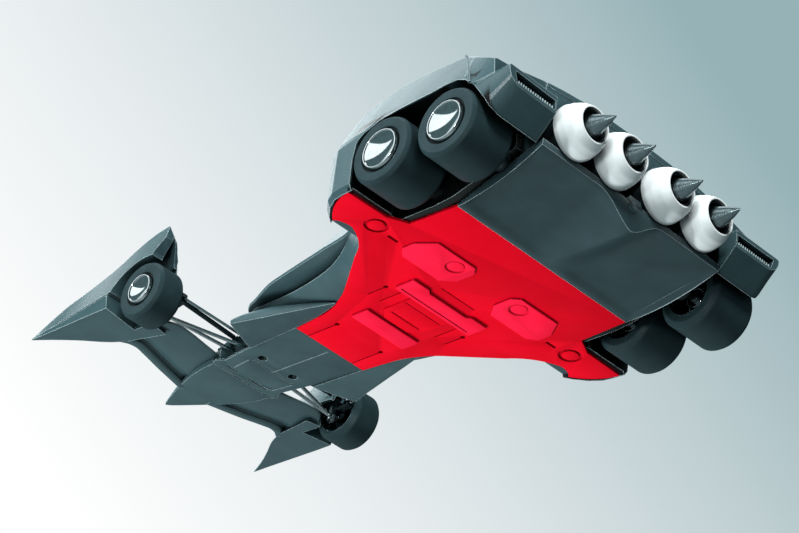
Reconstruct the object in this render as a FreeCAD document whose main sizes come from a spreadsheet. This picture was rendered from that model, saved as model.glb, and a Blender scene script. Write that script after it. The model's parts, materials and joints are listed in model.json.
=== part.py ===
"""A six-wheeled jet race car model: front wheels in dart-shaped pods, four wide rear wheels, twin-tunnel diffuser.

Frame: +X forward, +Y to the car's left, +Z up, millimetres, origin on the ground below the middle of the car.
"""
import FreeCAD, Part
import math
import os

import Sketcher

V = FreeCAD.Vector
doc = FreeCAD.newDocument("car")

# ---------------------------------------------------------------------------------------------- driving dimensions
DIMENSIONS = [
    ("tail_end", 140.0),
    ("floor_height", 3.4), ("floor_thick", 1.2), ("nose_step", 0.6),
    ("wheel_radius", 14.0), ("front_wheel_radius", 12.2), ("wheel_bore", 9.2), ("shoulder", 2.2),
    ("rear_tyre_wide", 22.4), ("rear_face", 79.0), ("front_tyre_wide", 13.2), ("front_face", 61.8),
    ("axle_one_back", 67.2), ("axle_two_back", 98.8), ("front_axle_ahead", 78.0),
    ("axle_radius", 2.0), ("running_gap", 0.05), ("hub_radius", 4.0), ("barrel_wall", 1.0),
    ("web_thick", 0.6), ("rim_inset", 0.6), ("hub_inset", 4.0), ("boss_screw_height", 13.6),
    ("rear_cap_radius", 8.4), ("front_cap_radius", 6.4), ("cap_depth", 1.6), ("cap_proud", 0.9),
    ("nozzle_inner", 13.4), ("nozzle_outer", 35.4), ("nozzle_height", 25.2),
    ("nozzle_mouth_back", 130.3), ("nozzle_root_back", 107.0), ("nozzle_fat", 10.7), ("mouth_radius", 7.4),
    ("mouth_bore", 6.6), ("liner_wall", 0.8), ("spike_radius", 4.6),
    ("body_half_wide", 51.0), ("seam_back", 104.0), ("well_radius", 16.8),
    ("kingpin_out", 46.9), ("kingpin_radius", 1.0), ("steer_arm", 8.0), ("tie_pin_radius", 0.7), ("tie_eye_radius", 1.1),
    ("diffuser_start", 77.2), ("diffuser_end", 119.0), ("roof_rear", 13.3), ("roof_thick", 1.0),
]
sheet = doc.addObject("Spreadsheet::Sheet", "dims")
for row, (alias, value) in enumerate(DIMENSIONS, start=1):
    sheet.set(f"A{row}", alias)
    sheet.set(f"B{row}", str(value))
    sheet.setAlias(f"B{row}", alias)
doc.recompute()


def dim(alias):
    return float(sheet.get(alias))


PARTS = {}


def keep(node, obj):
    """Name a finished sub-part; its label is its file name."""
    obj.Label = node
    PARTS[node] = obj
    return obj


# ------------------------------------------------------------------------------------------------- sketch helpers
def value_of(text):
    return float(sheet.evalExpression(text))


def origin_plane(body, role):
    return next(item for item in body.Origin.OriginFeatures if item.Role == role)


def bound_polygon(sketch, corners):
    """Closed polygon whose corner coordinates are expressions on the sheet."""
    points = [V(value_of(a), value_of(b), 0) for a, b in corners]
    count = len(points)
    for index in range(count):
        sketch.addGeometry(Part.LineSegment(points[index], points[(index + 1) % count]), False)
    for index in range(count):
        sketch.addConstraint(Sketcher.Constraint("Coincident", index, 2, (index + 1) % count, 1))
    for index, (across, along) in enumerate(corners):
        for kind, text in (("DistanceX", across), ("DistanceY", along)):
            number = sketch.addConstraint(Sketcher.Constraint(kind, index, 1, value_of(text)))
            sketch.setExpression(f"Constraints[{number}]", text)


def new_body(node, place=(0, 0, 0)):
    body = doc.addObject("PartDesign::Body", node + "_body")
    body.Placement = FreeCAD.Placement(V(*place), FreeCAD.Rotation())
    return keep(node, body)


def turned(node, corners, about, place):
    """A lathe-turned piece: a half profile in the XY plane spun about X (H_Axis) or Y (V_Axis)."""
    body = new_body(node, place)
    sketch = body.newObject("Sketcher::SketchObject", node + "_profile")
    sketch.AttachmentSupport = [(origin_plane(body, "XY_Plane"), "")]
    sketch.MapMode = "FlatFace"
    bound_polygon(sketch, corners)
    spin = body.newObject("PartDesign::Revolution", node + "_turned")
    spin.Profile = sketch
    spin.ReferenceAxis = (sketch, [about])
    spin.Angle = 360
    return body


def padded(node, corners, height, length):
    """A flat piece: a polygon in the XY plane at a height, padded upward."""
    body = new_body(node)
    sketch = body.newObject("Sketcher::SketchObject", node + "_outline")
    sketch.AttachmentSupport = [(origin_plane(body, "XY_Plane"), "")]
    sketch.MapMode = "FlatFace"
    sketch.setExpression("AttachmentOffset.Base.z", height)
    bound_polygon(sketch, corners)
    pad = body.newObject("PartDesign::Pad", node + "_pad")
    pad.Profile = sketch
    pad.setExpression("Length", length)
    return body


# ---------------------------------------------------------------------------------------------- freeform helpers
def wire(points):
    return Part.makePolygon([V(*p) for p in points] + [V(*points[0])])


def loft(sections):
    """Ruled solid through polygons with the same number of corners."""
    solid = Part.makeLoft([wire(section) for section in sections], True, True)
    return outward(solid)


def outward(solid):
    if solid.Volume < 0:
        solid.reverse()
    return solid


def prism(points, push):
    return Part.Face(wire(points)).extrude(V(*push))


def box(low, high):
    size = [b - a for a, b in zip(low, high)]
    return Part.makeBox(size[0], size[1], size[2], V(*low))


def rod(start, end, radius):
    start, end = V(*start), V(*end)
    return Part.makeCylinder(radius, (end - start).Length, start, end - start)


def mirrored(points):
    """Corners of the car's right half added to those of its left half."""
    return list(points) + [(x, -y, z) for x, y, z in reversed(points)]


def flipped(shape):
    return outward(shape.mirror(V(0, 0, 0), V(0, 1, 0)))


def shaped(node, shape):
    """A freeform sub-part, cleaned so that it is one valid solid or a group of them."""
    obj = doc.addObject("Part::Feature", node + "_shape")
    obj.Shape = shape
    return keep(node, obj)


def both_sides(name, left_shape):
    shaped(name + "_left", left_shape)
    shaped(name + "_right", flipped(left_shape))


FLOOR = dim("floor_height")
TOP_OF_FLOOR = FLOOR + dim("floor_thick")
NOSE_FLOOR = FLOOR + dim("nose_step")
R_WHEEL = dim("wheel_radius")
X_FRONT = dim("front_axle_ahead")
X_REAR = (-dim("axle_one_back"), -dim("axle_two_back"))
AXLE_R = dim("axle_radius")
BODY_Y = dim("body_half_wide")
SEAM_X = -dim("seam_back")


# ---------------------------------------------------------------------------------------------------------- wheels
def wheel(name, x, side, radius_cell, width_cell, face_cell, cap_cell, hub_inner):
    """A slick tyre on a hollow rim whose outer face is a dished cap; the profile's Y is along the axle."""
    place = (x, 0, R_WHEEL)
    radius = f"dims.{radius_cell}"
    s = "" if side > 0 else "-"
    outer = f"{s}(dims.{face_cell})"
    inner = f"{s}(dims.{face_cell} - dims.{width_cell})"
    tyre = turned(f"tyre_{name}", [
        ("dims.wheel_bore", inner), ("dims.wheel_bore", outer),
        (f"{radius} - dims.shoulder", outer),
        (f"{radius} - 0.35*dims.shoulder", f"{s}(dims.{face_cell} - 0.35*dims.shoulder)"),
        (radius, f"{s}(dims.{face_cell} - dims.shoulder)"),
        (radius, f"{s}(dims.{face_cell} - dims.{width_cell} + dims.shoulder)"),
        (f"{radius} - 0.35*dims.shoulder", f"{s}(dims.{face_cell} - dims.{width_cell} + 0.35*dims.shoulder)"),
        (f"{radius} - dims.shoulder", inner)], "V_Axis", place)
    web_back = f"{s}(dims.{face_cell} - dims.cap_depth - 2*dims.web_thick)"
    web_front = f"{s}(dims.{face_cell} - dims.cap_depth - dims.web_thick)"
    hub_end = f"{s}(dims.{face_cell} - dims.{width_cell} + dims.hub_inset)"
    barrel_end = f"{s}(dims.{face_cell} - dims.{width_cell} + dims.rim_inset)"
    lip = f"{s}(dims.{face_cell} + dims.cap_proud)"
    hub_bore = "dims.axle_radius" + hub_inner
    rim = turned(f"rim_{name}", [
        (hub_bore, hub_end), ("dims.hub_radius", hub_end), ("dims.hub_radius", web_back),
        ("dims.wheel_bore - dims.barrel_wall", web_back), ("dims.wheel_bore - dims.barrel_wall", barrel_end),
        ("dims.wheel_bore", barrel_end), ("dims.wheel_bore", outer), (f"dims.{cap_cell}", outer),
        (f"dims.{cap_cell} - 0.4", lip), (f"dims.{cap_cell} - 1.1", lip),
        ("0", f"{s}(dims.{face_cell} - dims.cap_depth + dims.web_thick)"),
        ("0", web_front), (hub_bore, web_front)], "V_Axis", place)
    return tyre, rim


for axle, x in (("front", X_REAR[0]), ("back", X_REAR[1])):
    for side_name, side in (("left", 1), ("right", -1)):
        wheel(f"rear_{axle}_{side_name}", x, side, "wheel_radius", "rear_tyre_wide", "rear_face",
              "rear_cap_radius", "")
    half = "(dims.rear_face - dims.cap_depth - 0.6)"
    turned(f"rear_axle_{axle}", [("0", "-" + half), ("dims.axle_radius", "-" + half),
                                 ("dims.axle_radius", half), ("0", half)], "V_Axis", (x, 0, R_WHEEL))
for side_name, side in (("left", 1), ("right", -1)):
    wheel(f"front_{side_name}", X_FRONT, side, "front_wheel_radius", "front_tyre_wide", "front_face",
          "front_cap_radius", " + dims.running_gap")


# ------------------------------------------------------------------------------------------------ rear jet nozzles
def nozzle(number, across):
    """A barrel-shaped shell around a turned spike; the profile's X is along the nozzle, pointing back."""
    place = (0, across, dim("nozzle_height"))
    root, mouth = "-dims.nozzle_root_back", "-dims.nozzle_mouth_back"
    turned(f"nozzle_shell_{number}", [
        (root, "dims.mouth_bore"), (root, "0.88*dims.nozzle_fat"),
        (root + " - 4", "0.955*dims.nozzle_fat"), (root + " - 9", "dims.nozzle_fat"),
        (mouth + " + 9.6", "dims.nozzle_fat"), (mouth + " + 6.6", "0.965*dims.nozzle_fat"),
        (mouth + " + 3.6", "0.88*dims.nozzle_fat"), (mouth + " + 1.5", "0.78*dims.nozzle_fat"),
        (mouth, "dims.mouth_radius"), (mouth, "dims.mouth_bore")], "H_Axis", place)
    turned(f"spike_cone_{number}", [
        (root, "0"), (root, "dims.spike_radius - 1"), (mouth + " + 8", "dims.spike_radius - 1"),
        (mouth + " + 6", "dims.spike_radius"), (mouth + " + 1.2", "dims.spike_radius"),
        (mouth + " - 3", "dims.spike_radius - 1.9"), ("-dims.tail_end + 0.3", "0.25"),
        ("-dims.tail_end", "0")], "H_Axis", place)


NOZZLE_Y = [dim("nozzle_outer"), dim("nozzle_inner"), -dim("nozzle_inner"), -dim("nozzle_outer")]
for number, across in enumerate(NOZZLE_Y, start=1):
    nozzle(number, across)


def nozzle_liners():
    root, mouth = -dim("nozzle_root_back"), -dim("nozzle_mouth_back") + 1.0
    liners = []
    for across in NOZZLE_Y:
        at = V(mouth, across, dim("nozzle_height"))
        tube = Part.makeCylinder(dim("mouth_bore"), root - mouth, at, V(1, 0, 0))
        bore = Part.makeCylinder(dim("mouth_bore") - dim("liner_wall"), root - mouth - 1.0, at, V(1, 0, 0))
        pin = Part.makeCylinder(dim("spike_radius") - 1, root - mouth, at, V(1, 0, 0))
        liners.append(tube.cut(bore).cut(pin))
    return Part.makeCompound(liners)


shaped("nozzle_liners", nozzle_liners())


# --------------------------------------------------------------------------------------------- floor and its fittings
def floor_outline(z):
    """Edges of the floor plate's left half, front to back, with its swept waist and wheel-arch flange."""
    def at(x, y):
        return V(x, y, z)
    runs = [
        Part.LineSegment(at(33, 18.5), at(17, 20.1)), Part.Arc(at(17, 20.1), at(7.2, 22.9), at(-1, 27.4)),
        Part.LineSegment(at(-1, 27.4), at(-21, 42.4)), Part.Arc(at(-21, 42.4), at(-31.3, 51.3), at(-35.2, 58.5)),
        Part.Arc(at(-35.2, 58.5), at(-34.8, 62.4), at(-32.5, 66)), Part.Arc(at(-32.5, 66), at(-40, 72.6), at(-49.9, 76)),
        Part.LineSegment(at(-49.9, 76), at(-50.3, 56.4)), Part.LineSegment(at(-50.3, 56.4), at(-54.4, 48.2)),
        Part.LineSegment(at(-54.4, 48.2), at(-dim("diffuser_start"), 47.1))]
    left = [run.toShape() for run in runs]
    right = [edge.mirror(V(0, 0, 0), V(0, 1, 0)) for edge in left]
    ends = [Part.makeLine(at(33, -18.5), at(33, 18.5)),
            Part.makeLine(at(-dim("diffuser_start"), 47.1), at(-dim("diffuser_start"), -47.1))]
    return Part.Wire(Part.__sortEdges__(left + right + ends))


def floor_plate():
    plate = Part.Face(floor_outline(FLOOR)).extrude(V(0, 0, dim("floor_thick")))
    for side in (1, -1):
        ring_at = V(-43.4, 54.3 * side, FLOOR)
        ring = Part.makeCylinder(4.7, 0.5, ring_at).cut(Part.makeCylinder(3.3, 0.5, ring_at))
        dash = box((-43.0, min(42.0 * side, 46.6 * side), FLOOR), (-41.8, max(42.0 * side, 46.6 * side), FLOOR + 0.5))
        plate = plate.cut(ring).cut(dash)
        for front, back, y in ((33.0, 17.3, 12.2), (-7.8, -17.4, 21.5)):
            groove = box((back, y * side - 0.3, FLOOR), (front, y * side + 0.3, FLOOR + 0.4))
            hole = Part.makeCylinder(0.9, 0.6, V(back, y * side, FLOOR))
            plate = plate.cut(groove).cut(hole)
    return plate


shaped("floor_plate", floor_plate())

PAD_PROUD = 0.8
PAD = [(-38.0, 14.5), (-38.0, 34.5), (-41.5, 38.3), (-47.5, 38.3), (-55.3, 33.2), (-55.3, 13.0), (-52.2, 10.2),
       (-43.5, 10.2)]


def floor_pad():
    outline = [(x, y, FLOOR - PAD_PROUD) for x, y in PAD]
    pad = prism(outline, (0, 0, PAD_PROUD))
    return pad.cut(Part.makeCylinder(4.0, PAD_PROUD * 0.75, V(-49.6, 17.8, FLOOR - PAD_PROUD)))


both_sides("floor_pad", floor_pad())


def bound_block(node, x_front, x_back, half, proud):
    lift = f"dims.floor_height - {proud}"
    return padded(node, [(str(x_front), str(-half)), (str(x_front), str(half)), (str(x_back), str(half)),
                         (str(x_back), str(-half))], lift, str(proud))


padded("latch_bar_rear", [("-20.9", "-20.6"), ("-20.9", "19.6"), ("-30.6", "19.6"), ("-30.6", "11.5"),
                          ("-29", "9.5"), ("-29", "-10.5"), ("-30.6", "-12.5"), ("-30.6", "-20.6")],
       "dims.floor_height - 1.1", "1.1")
bound_block("latch_bar_front", 7.6, -1.0, 14.2, 1.1)
padded("centre_hatch", [("-20.6", "-10.6"), ("-20.6", "10.6"), ("-6.2", "10.6"), ("-2.0", "6.4"),
                        ("-2.0", "-6.4"), ("-6.2", "-10.6")], "dims.floor_height - 0.4", "0.4")


# ------------------------------------------------------------------------------------------------------- nose and wing
def nose_floor():
    low, high = NOSE_FLOOR, TOP_OF_FLOOR + 0.4
    half = [(33.1, 18.4), (60.0, 17.4), (76.5, 15.2), (79.6, 18.2), (82.4, 16.4)]
    sections = []
    for z in (low, high):
        sections.append([(x, y, z + 0.022 * (x - 33)) for x, y in half] +
                        [(x, -y, z + 0.022 * (x - 33)) for x, y in reversed(half)])
    plate = loft(sections)
    for side in (1, -1):
        plate = plate.cut(Part.makeCylinder(1.9, 3, V(62.2, 8.4 * side, low - 1)))
    return plate


shaped("nose_floor", nose_floor())


def nose_tip():
    """The arrowhead in front of the transverse joint: a shallow wedge that closes to a point."""
    stations = [(82.6, 16.3, 5.1, 18.0), (92.0, 15.2, 5.6, 16.4), (99.0, 13.2, 6.1, 15.0), (106.0, 10.8, 6.6, 13.3),
                (112.0, 8.0, 7.1, 11.8), (118.0, 5.2, 7.5, 10.5), (124.0, 2.2, 7.9, 9.3), (127.6, 0.3, 8.2, 8.7)]
    sections = []
    for x, half, low, high in stations:
        shoulder = low + 0.45 * (high - low)
        sections.append(mirrored([(x, 0.001, high), (x, 0.55 * half, high - 0.1 * (high - low)),
                                  (x, half, shoulder), (x, 0.98 * half, low), (x, 0.001, low)]))
    return loft(sections)


NOSE_TIP = nose_tip()
shaped("nose_tip", NOSE_TIP)


def wing_section(y, x_lead, x_trail, z):
    """A thin plate with a round leading lip and a cove behind it, at one span station."""
    return [(x_trail, y, z + 0.2), (x_lead - 9.5, y, z + 0.2), (x_lead - 8.0, y, z + 1.3), (x_lead - 6.2, y, z + 1.3),
            (x_lead - 4.6, y, z - 0.2), (x_lead - 1.4, y, z - 0.5), (x_lead, y, z + 0.6), (x_lead - 0.6, y, z + 1.9),
            (x_lead - 7.0, y, z + 3.0), (x_trail, y, z + 1.6)]


def front_wing():
    halves = []
    for side in (1, -1):
        halves.append(loft([wing_section(side * y, lead, trail, z) for y, lead, trail, z in
                            ((5.0, 112.5, 83.2, 7.2), (20.0, 109.0, 79.4, 7.6), (36.0, 105.6, 78.6, 8.6),
                             (44.0, 107.2, 90.0, 9.0))]))
    return halves


# Each station of the left pod: x, then its corners outer bottom, outer groove, ridge, inner shoulder, inner bottom.
POD_STATIONS = [
    (140.0, [(62.9, 10.8), (62.95, 10.95), (62.8, 11.2), (62.5, 11.1), (62.5, 10.8)]),
    (123.0, [(62.9, 10.6), (63.6, 12.9), (61.8, 20.1), (57.0, 17.4), (53.2, 9.9)]),
    (107.0, [(63.2, 10.5), (64.2, 14.8), (60.6, 26.2), (48.6, 21.5), (43.6, 8.8)]),
    (95.4, [(63.3, 10.4), (64.6, 16.0), (59.6, 31.8), (46.0, 26.5), (41.4, 8.0)]),
    (83.5, [(63.2, 10.4), (64.2, 16.4), (58.8, 38.6), (46.6, 30.6), (38.9, 7.1)]),
    (66.0, [(62.6, 10.4), (63.4, 16.8), (57.8, 43.6), (50.5, 33.0), (40.5, 8.0)]),
]


def pod():
    """A dart over the front wheel: pointed prow, rising fin, round opening at the wheel."""
    hull = loft([[(x, y, z) for y, z in corners] for x, corners in POD_STATIONS])
    well = Part.makeCylinder(16.4, 40, V(X_FRONT, 46.4, R_WHEEL), V(0, 1, 0))
    behind = box((50, 46.4, 0), (X_FRONT, 90, 28.6))
    below = box((50, 46.4, -5), (95.0, 90, R_WHEEL))
    inner_back = box((50, 30, 0), (81.6, 46.5, 24.0))
    arm_slot = box((50, 30, 0), (86.0, 46.5, 15.0)).cut(box((78.0, 30, 0), (86.0, 42.5, 15.0)))
    tail = prism([(60, 30, 50), (60, 30, 28), (66.5, 30, 28.4), (70.5, 30, 44.5)], (0, 60, 0))
    roof_gap = box((50, 30, 0), (72.0, 56.0, 60))
    for tool in (well, behind, below, inner_back, arm_slot, tail, roof_gap):
        hull = hull.cut(tool)
    return max(hull.Solids, key=lambda solid: solid.Volume)


POD = pod()
both_sides("pod", POD)


def joined_wing():
    left, right = front_wing()
    whole = left.fuse(right).cut(POD).cut(flipped(POD)).cut(NOSE_TIP)
    return Part.makeCompound([s for s in whole.Solids if s.Volume > 50])


WING = joined_wing()
shaped("front_wing", WING)


# ------------------------------------------------------------------------------------------------ strakes and body
def strake():
    """The flat plate beside the nose floor, with a rounded fairing that dies out at the waist."""
    stations = [(8.5, 22.9, 0.4, 24.0, 21.6), (20.0, 26.0, 3.2, 22.0, 20.0), (33.0, 29.2, 6.0, 23.5, 18.6),
                (45.0, 32.3, 7.6, 25.0, 18.1), (52.0, 34.2, 7.4, 27.0, 17.9), (57.0, 24.5, 6.4, 22.0, 17.7)]
    sections = []
    for x, outer, rise, crest, inner in stations:
        low = FLOOR + 0.3
        sections.append([(x, inner, low), (x, outer, low), (x, outer + 0.3, low + 0.16 * rise + 0.2),
                         (x, 0.6 * outer + 0.4 * crest, low + 0.8 * rise + 0.3), (x, crest, low + rise + 0.4),
                         (x, inner, low + rise * 0.9 + 0.4)])
    return loft(sections).cut(Part.Face(floor_outline(FLOOR)).extrude(V(0, 0, dim("floor_thick"))))


# Each body station: x, base y, then crease, recess root, lip and shoulder as (y, z), and the crown height.
BODY_STATIONS = [
    (82.0, 14.8, (15.4, 8.0), (15.4, 10.0), (15.2, 12.0), (9.0, 16.8), 18.0),
    (60.0, 16.8, (17.6, 8.8), (17.5, 11.0), (17.6, 13.0), (11.0, 19.6), 21.2),
    (52.0, 17.4, (24.8, 12.6), (24.4, 13.2), (25.6, 14.2), (13.0, 21.6), 23.6),
    (34.0, 19.0, (28.0, 12.6), (26.4, 14.0), (33.6, 15.4), (16.0, 24.4), 27.0),
    (16.0, 21.2, (31.6, 11.0), (28.6, 13.6), (38.4, 15.4), (20.0, 28.0), 31.0),
    (-1.0, 27.4, (36.0, 10.2), (32.0, 13.2), (42.2, 15.0), (24.0, 31.2), 34.0),
    (-13.0, 36.4, (41.2, 11.6), (38.6, 13.6), (43.6, 15.2), (28.0, 33.4), 36.0),
    (-24.0, 44.8, (46.4, 11.6), (46.0, 14.0), (46.8, 16.4), (33.0, 35.0), 37.2),
    (-34.0, 50.6, (51.0, 12.0), (51.0, 15.0), (51.0, 19.0), (40.0, 35.4), 38.0),
    (-52.0, 51.0, (51.0, 12.0), (51.0, 18.0), (51.0, 33.0), (49.0, 36.4), 38.6),
    (-107.0, 51.0, (51.0, 15.6), (51.0, 20.0), (51.0, 36.6), (50.4, 36.8), 40.0),
]


def body_section(x, base, crease, root, lip, shoulder, crown, base_z, inset=0.0):
    """Half a body section from the floor up to the crown, drawn inset by a wall thickness if one is given."""
    def inward(corner):
        return (x, corner[0] - inset, corner[1] - (inset if corner[1] > 30 else 0.3 * inset))
    half = [(x, 0.001, crown - inset), inward(shoulder), (x, lip[0] - inset, lip[1]),
            (x, lip[0] - 0.4 - inset, lip[1] - 0.8), (x, root[0] - inset, root[1]), (x, crease[0] - inset, crease[1]),
            (x, base - inset, base_z), (x, 0.001, base_z)]
    return mirrored(half)


def base_height(x):
    """Underside of the body: on the floor plate, over the nose floor and above the diffuser's roof."""
    if x > 33:
        return TOP_OF_FLOOR + 0.4 + 0.022 * (x - 33)
    if x < -dim("diffuser_start"):
        return 15.0
    return TOP_OF_FLOOR


def body_shell():
    outer = loft([body_section(*station, base_height(station[0])) for station in BODY_STATIONS])
    inner = loft([body_section(*station, base_height(station[0]) - 1.0, 2.0)
                  for station in BODY_STATIONS[3:-1]])
    shell = outer.cut(inner)
    for x in X_REAR:
        for side in (1, -1):
            shell = shell.cut(rod((x, side * 40, R_WHEEL), (x, side * 55, R_WHEEL), 4.6))
        shell = shell.cut(rod((x, -55, R_WHEEL), (x, 55, R_WHEEL), AXLE_R + 0.8))
    return shell


STRAKE = strake()
KICK_UP = prism([(-76.0, -60, 0), (-120, -60, 0), (-120, -60, 15.4), (-76.0, -60, 5.6)], (0, 120, 0))
SUSPENSION_BAY = box((61.5, -24.0, 0), (79.0, 24.0, 15.6))
DISPLAY_HOLES = [Part.makeCylinder(1.9, 14, V(62.2, side * 8.4, -1)) for side in (1, -1)]


def fitted_body():
    shell = body_shell().cut(STRAKE).cut(flipped(STRAKE)).cut(KICK_UP).cut(NOSE_TIP).cut(WING)
    for opening in [SUSPENSION_BAY] + DISPLAY_HOLES:
        shell = shell.cut(opening)
    return max(shell.Solids, key=lambda solid: solid.Volume)


BODY = fitted_body()
shaped("body_shell", BODY)
both_sides("strake", STRAKE)


def canopy():
    """A long low cockpit glass on the centre line, seated on the body's crown."""
    stations = [(44.0, 1.0, 25.0, 25.6), (34.0, 6.5, 26.0, 30.6), (20.0, 9.6, 28.6, 36.6), (4.0, 11.0, 31.0, 41.4),
                (-12.0, 10.6, 34.0, 43.8), (-28.0, 8.8, 35.4, 43.6), (-44.0, 6.0, 36.6, 42.2), (-58.0, 3.2, 37.6, 40.6)]
    sections = []
    for x, half, low, high in stations:
        rise = high - low
        sections.append(mirrored([(x, 0.001, high), (x, 0.5 * half, high - 0.08 * rise), (x, 0.86 * half, low + 0.6 * rise),
                                  (x, half, low), (x, 0.001, low)]))
    return loft(sections).cut(BODY)


shaped("canopy", max(canopy().Solids, key=lambda solid: solid.Volume))


# Each fender station: x, lower outer y, upper outer y, ridge (y, z) and the height of the inner edge.
FENDER_STATIONS = [
    (-31.4, 65.4, 66.4, (66.0, 33.0), 30.0),
    (-36.0, 69.8, 70.6, (67.0, 41.5), 33.5),
    (-43.0, 73.8, 74.4, (68.0, 45.8), 35.0),
    (-50.0, 76.6, 77.2, (69.0, 47.6), 36.0),
    (-62.0, 77.6, 78.6, (70.0, 48.6), 37.4),
    (-98.0, 78.4, 79.2, (70.0, 48.6), 39.0),
    (-104.0, 78.2, 79.0, (70.0, 46.6), 39.4),
]


def wheel_well(gap=0.0):
    """The opening over the two rear wheels, as one prism through the car's side."""
    outline = [(-52.4, -3), (-52.4, 22.5), (-56.0, 26.2), (-64.0, 29.6), (-98.0, 32.0), (-102.4, 31.6), (-106.6, 29.0),
               (-111.4, 24.2), (-116.0, 16.5), (-117.4, -3)]
    return prism([(x, BODY_Y + 3.2 + gap, z) for x, z in outline], (0, 40, 0))


def fender():
    sections = []
    for x, low_y, high_y, ridge, inner_z in FENDER_STATIONS:
        inner = BODY_Y + 0.02 if x < -50 else BODY_Y + 0.3
        sections.append([(x, inner, TOP_OF_FLOOR), (x, low_y - 1.6, TOP_OF_FLOOR), (x, low_y - 0.6, FLOOR - 0.2),
                         (x, low_y, FLOOR - 0.2), (x, high_y, 31.0), (x, ridge[0], ridge[1]),
                         (x, ridge[0] - 6, ridge[1] - 1.0), (x, inner, inner_z)])
    hull = loft(sections)
    tyres = prism([(x, BODY_Y - 1, z) for x, z in ((-51.5, -3), (-51.5, 30.0), (-116, 30.6), (-116, -3))], (0, 5, 0))
    return hull.cut(wheel_well()).cut(tyres)


FENDER = max(fender().cut(BODY).cut(Part.Face(floor_outline(FLOOR)).extrude(V(0, 0, dim("floor_thick")))).Solids,
             key=lambda solid: solid.Volume)
both_sides("fender", FENDER)


def rear_deck():
    stations = [(-58.0, 38.8, 41.4), (-80.0, 39.8, 42.6), (-107.0, 40.2, 43.0), (-119.4, 40.6, 42.9)]
    sections = []
    for x, under, top in stations:
        sections.append(mirrored([(x, 0.001, top), (x, 30.0, top - 0.8), (x, 49.6, top - 3.0), (x, 50.4, under - 2.4),
                                  (x, 30.0, under - 0.6), (x, 0.001, under)]))
    return loft(sections)


shaped("rear_deck", max(rear_deck().cut(BODY).Solids, key=lambda solid: solid.Volume))


# ------------------------------------------------------------------------------------------------ diffuser and vents
def diffuser():
    """A wedge whose two tunnels rise to a flat rear edge and leave a flared keel between them."""
    start, end = -dim("diffuser_start"), -dim("diffuser_end")
    roof, thick = dim("roof_rear"), dim("roof_thick")
    wedge = loft([[(start, -47.1, FLOOR), (start, 47.1, FLOOR), (start, 47.1, 4.7), (start, -47.1, 4.7)],
                  [(end, -49.8, FLOOR), (end, 49.8, FLOOR), (end, 49.8, roof + thick), (end, -49.8, roof + thick)]])
    rear = [(18, roof), (13, roof - 1.0), (9.0, roof - 3.6), (5.0, roof - 7.4), (0.9, 2.0), (60, 2.0), (60, roof)]
    front = [(16, 4.1), (13, 4.05), (10, 3.95), (7.5, 3.7), (6.0, 3.2), (60, 3.2), (60, 4.1)]
    tunnel = loft([[(start - 2.5, y, z) for y, z in front], [(end - 0.5, y, z) for y, z in rear]])
    boss = box((end, -4.0, roof - 3.0), (end + 1.6, 4.0, 18.2))
    body = wedge.cut(tunnel).cut(flipped(tunnel)).fuse(boss).removeSplitter()
    screw_z = dim("boss_screw_height")
    return body.cut(rod((end - 1, 0, screw_z), (end + 4, 0, screw_z), 1.2))


shaped("diffuser", diffuser())
turned("diffuser_screw", [("-dims.diffuser_end - 0.9", "0"), ("-dims.diffuser_end - 0.9", "1.5"),
                          ("-dims.diffuser_end - 0.5", "2.2"), ("-dims.diffuser_end", "2.2"),
                          ("-dims.diffuser_end", "1.2"), ("-dims.diffuser_end + 3.5", "1.2"),
                          ("-dims.diffuser_end + 3.5", "0")], "H_Axis", (0, 0, dim("boss_screw_height")))

SLOT = [(73.0, 28.2), (52.0, 27.8), (52.0, 24.2), (71.6, 24.2)]
SLOT_DEPTH = 5.0
TAIL_X = -125.4


def vent_housing():
    """The tail block behind the wheel arch, with a slot in its rear face."""
    inner = BODY_Y + 0.02
    hull = loft([
        [(SEAM_X - 0.02, inner, 15.8), (SEAM_X - 0.02, 77.6, 15.8), (SEAM_X - 0.02, 78.4, 31.0),
         (SEAM_X - 0.02, 70.0, 46.2), (SEAM_X - 0.02, inner, 39.4)],
        [(-113.0, inner, 15.8), (-113.0, 76.6, 15.8), (-113.0, 76.8, 27.6), (-113.0, 70.6, 39.8), (-113.0, inner, 38.4)],
        [(-119.0, inner, 16.6), (-119.0, 74.6, 16.6), (-119.0, 76.0, 27.0), (-119.0, 70.8, 34.6), (-119.0, inner, 36.6)],
        [(TAIL_X, inner, 22.4), (TAIL_X, 72.4, 22.4), (TAIL_X, 74.9, 26.8), (TAIL_X, 74.0, 29.6), (TAIL_X, inner, 29.2)]])
    slot = prism([(TAIL_X - 1, y, z) for y, z in SLOT], (SLOT_DEPTH + 1, 0, 0))
    arch = Part.makeCylinder(dim("well_radius"), 60, V(X_REAR[1], 50, R_WHEEL), V(0, 1, 0))
    return max(hull.cut(wheel_well(-4)).cut(arch).cut(slot).Solids, key=lambda solid: solid.Volume)


def vent_grille():
    """A back plate and a row of small teeth along the slot's lower edge."""
    back = TAIL_X + SLOT_DEPTH
    grille = box((back - 0.8, 52.0, 24.2), (back, 71.4, 27.6))
    for index in range(14):
        y = 53.2 + index * 1.3
        grille = grille.fuse(box((TAIL_X + 0.6, y, 24.2), (back - 0.8, y + 0.6, 25.2)))
    return grille


VENT = vent_housing()
both_sides("vent_housing", VENT)
both_sides("vent_grille", vent_grille())


# ------------------------------------------------------------------------------------------- bearings and suspension
def axle_bearings():
    rings = []
    for x in X_REAR:
        for side in (1, -1):
            ring = rod((x, side * 49.0, R_WHEEL), (x, side * 53.6, R_WHEEL), 4.6)
            rings.append(ring.cut(rod((x, side * 40, R_WHEEL), (x, side * 56, R_WHEEL),
                                      AXLE_R + dim("running_gap"))))
    return Part.makeCompound(rings)


shaped("axle_bearings", axle_bearings())

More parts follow.
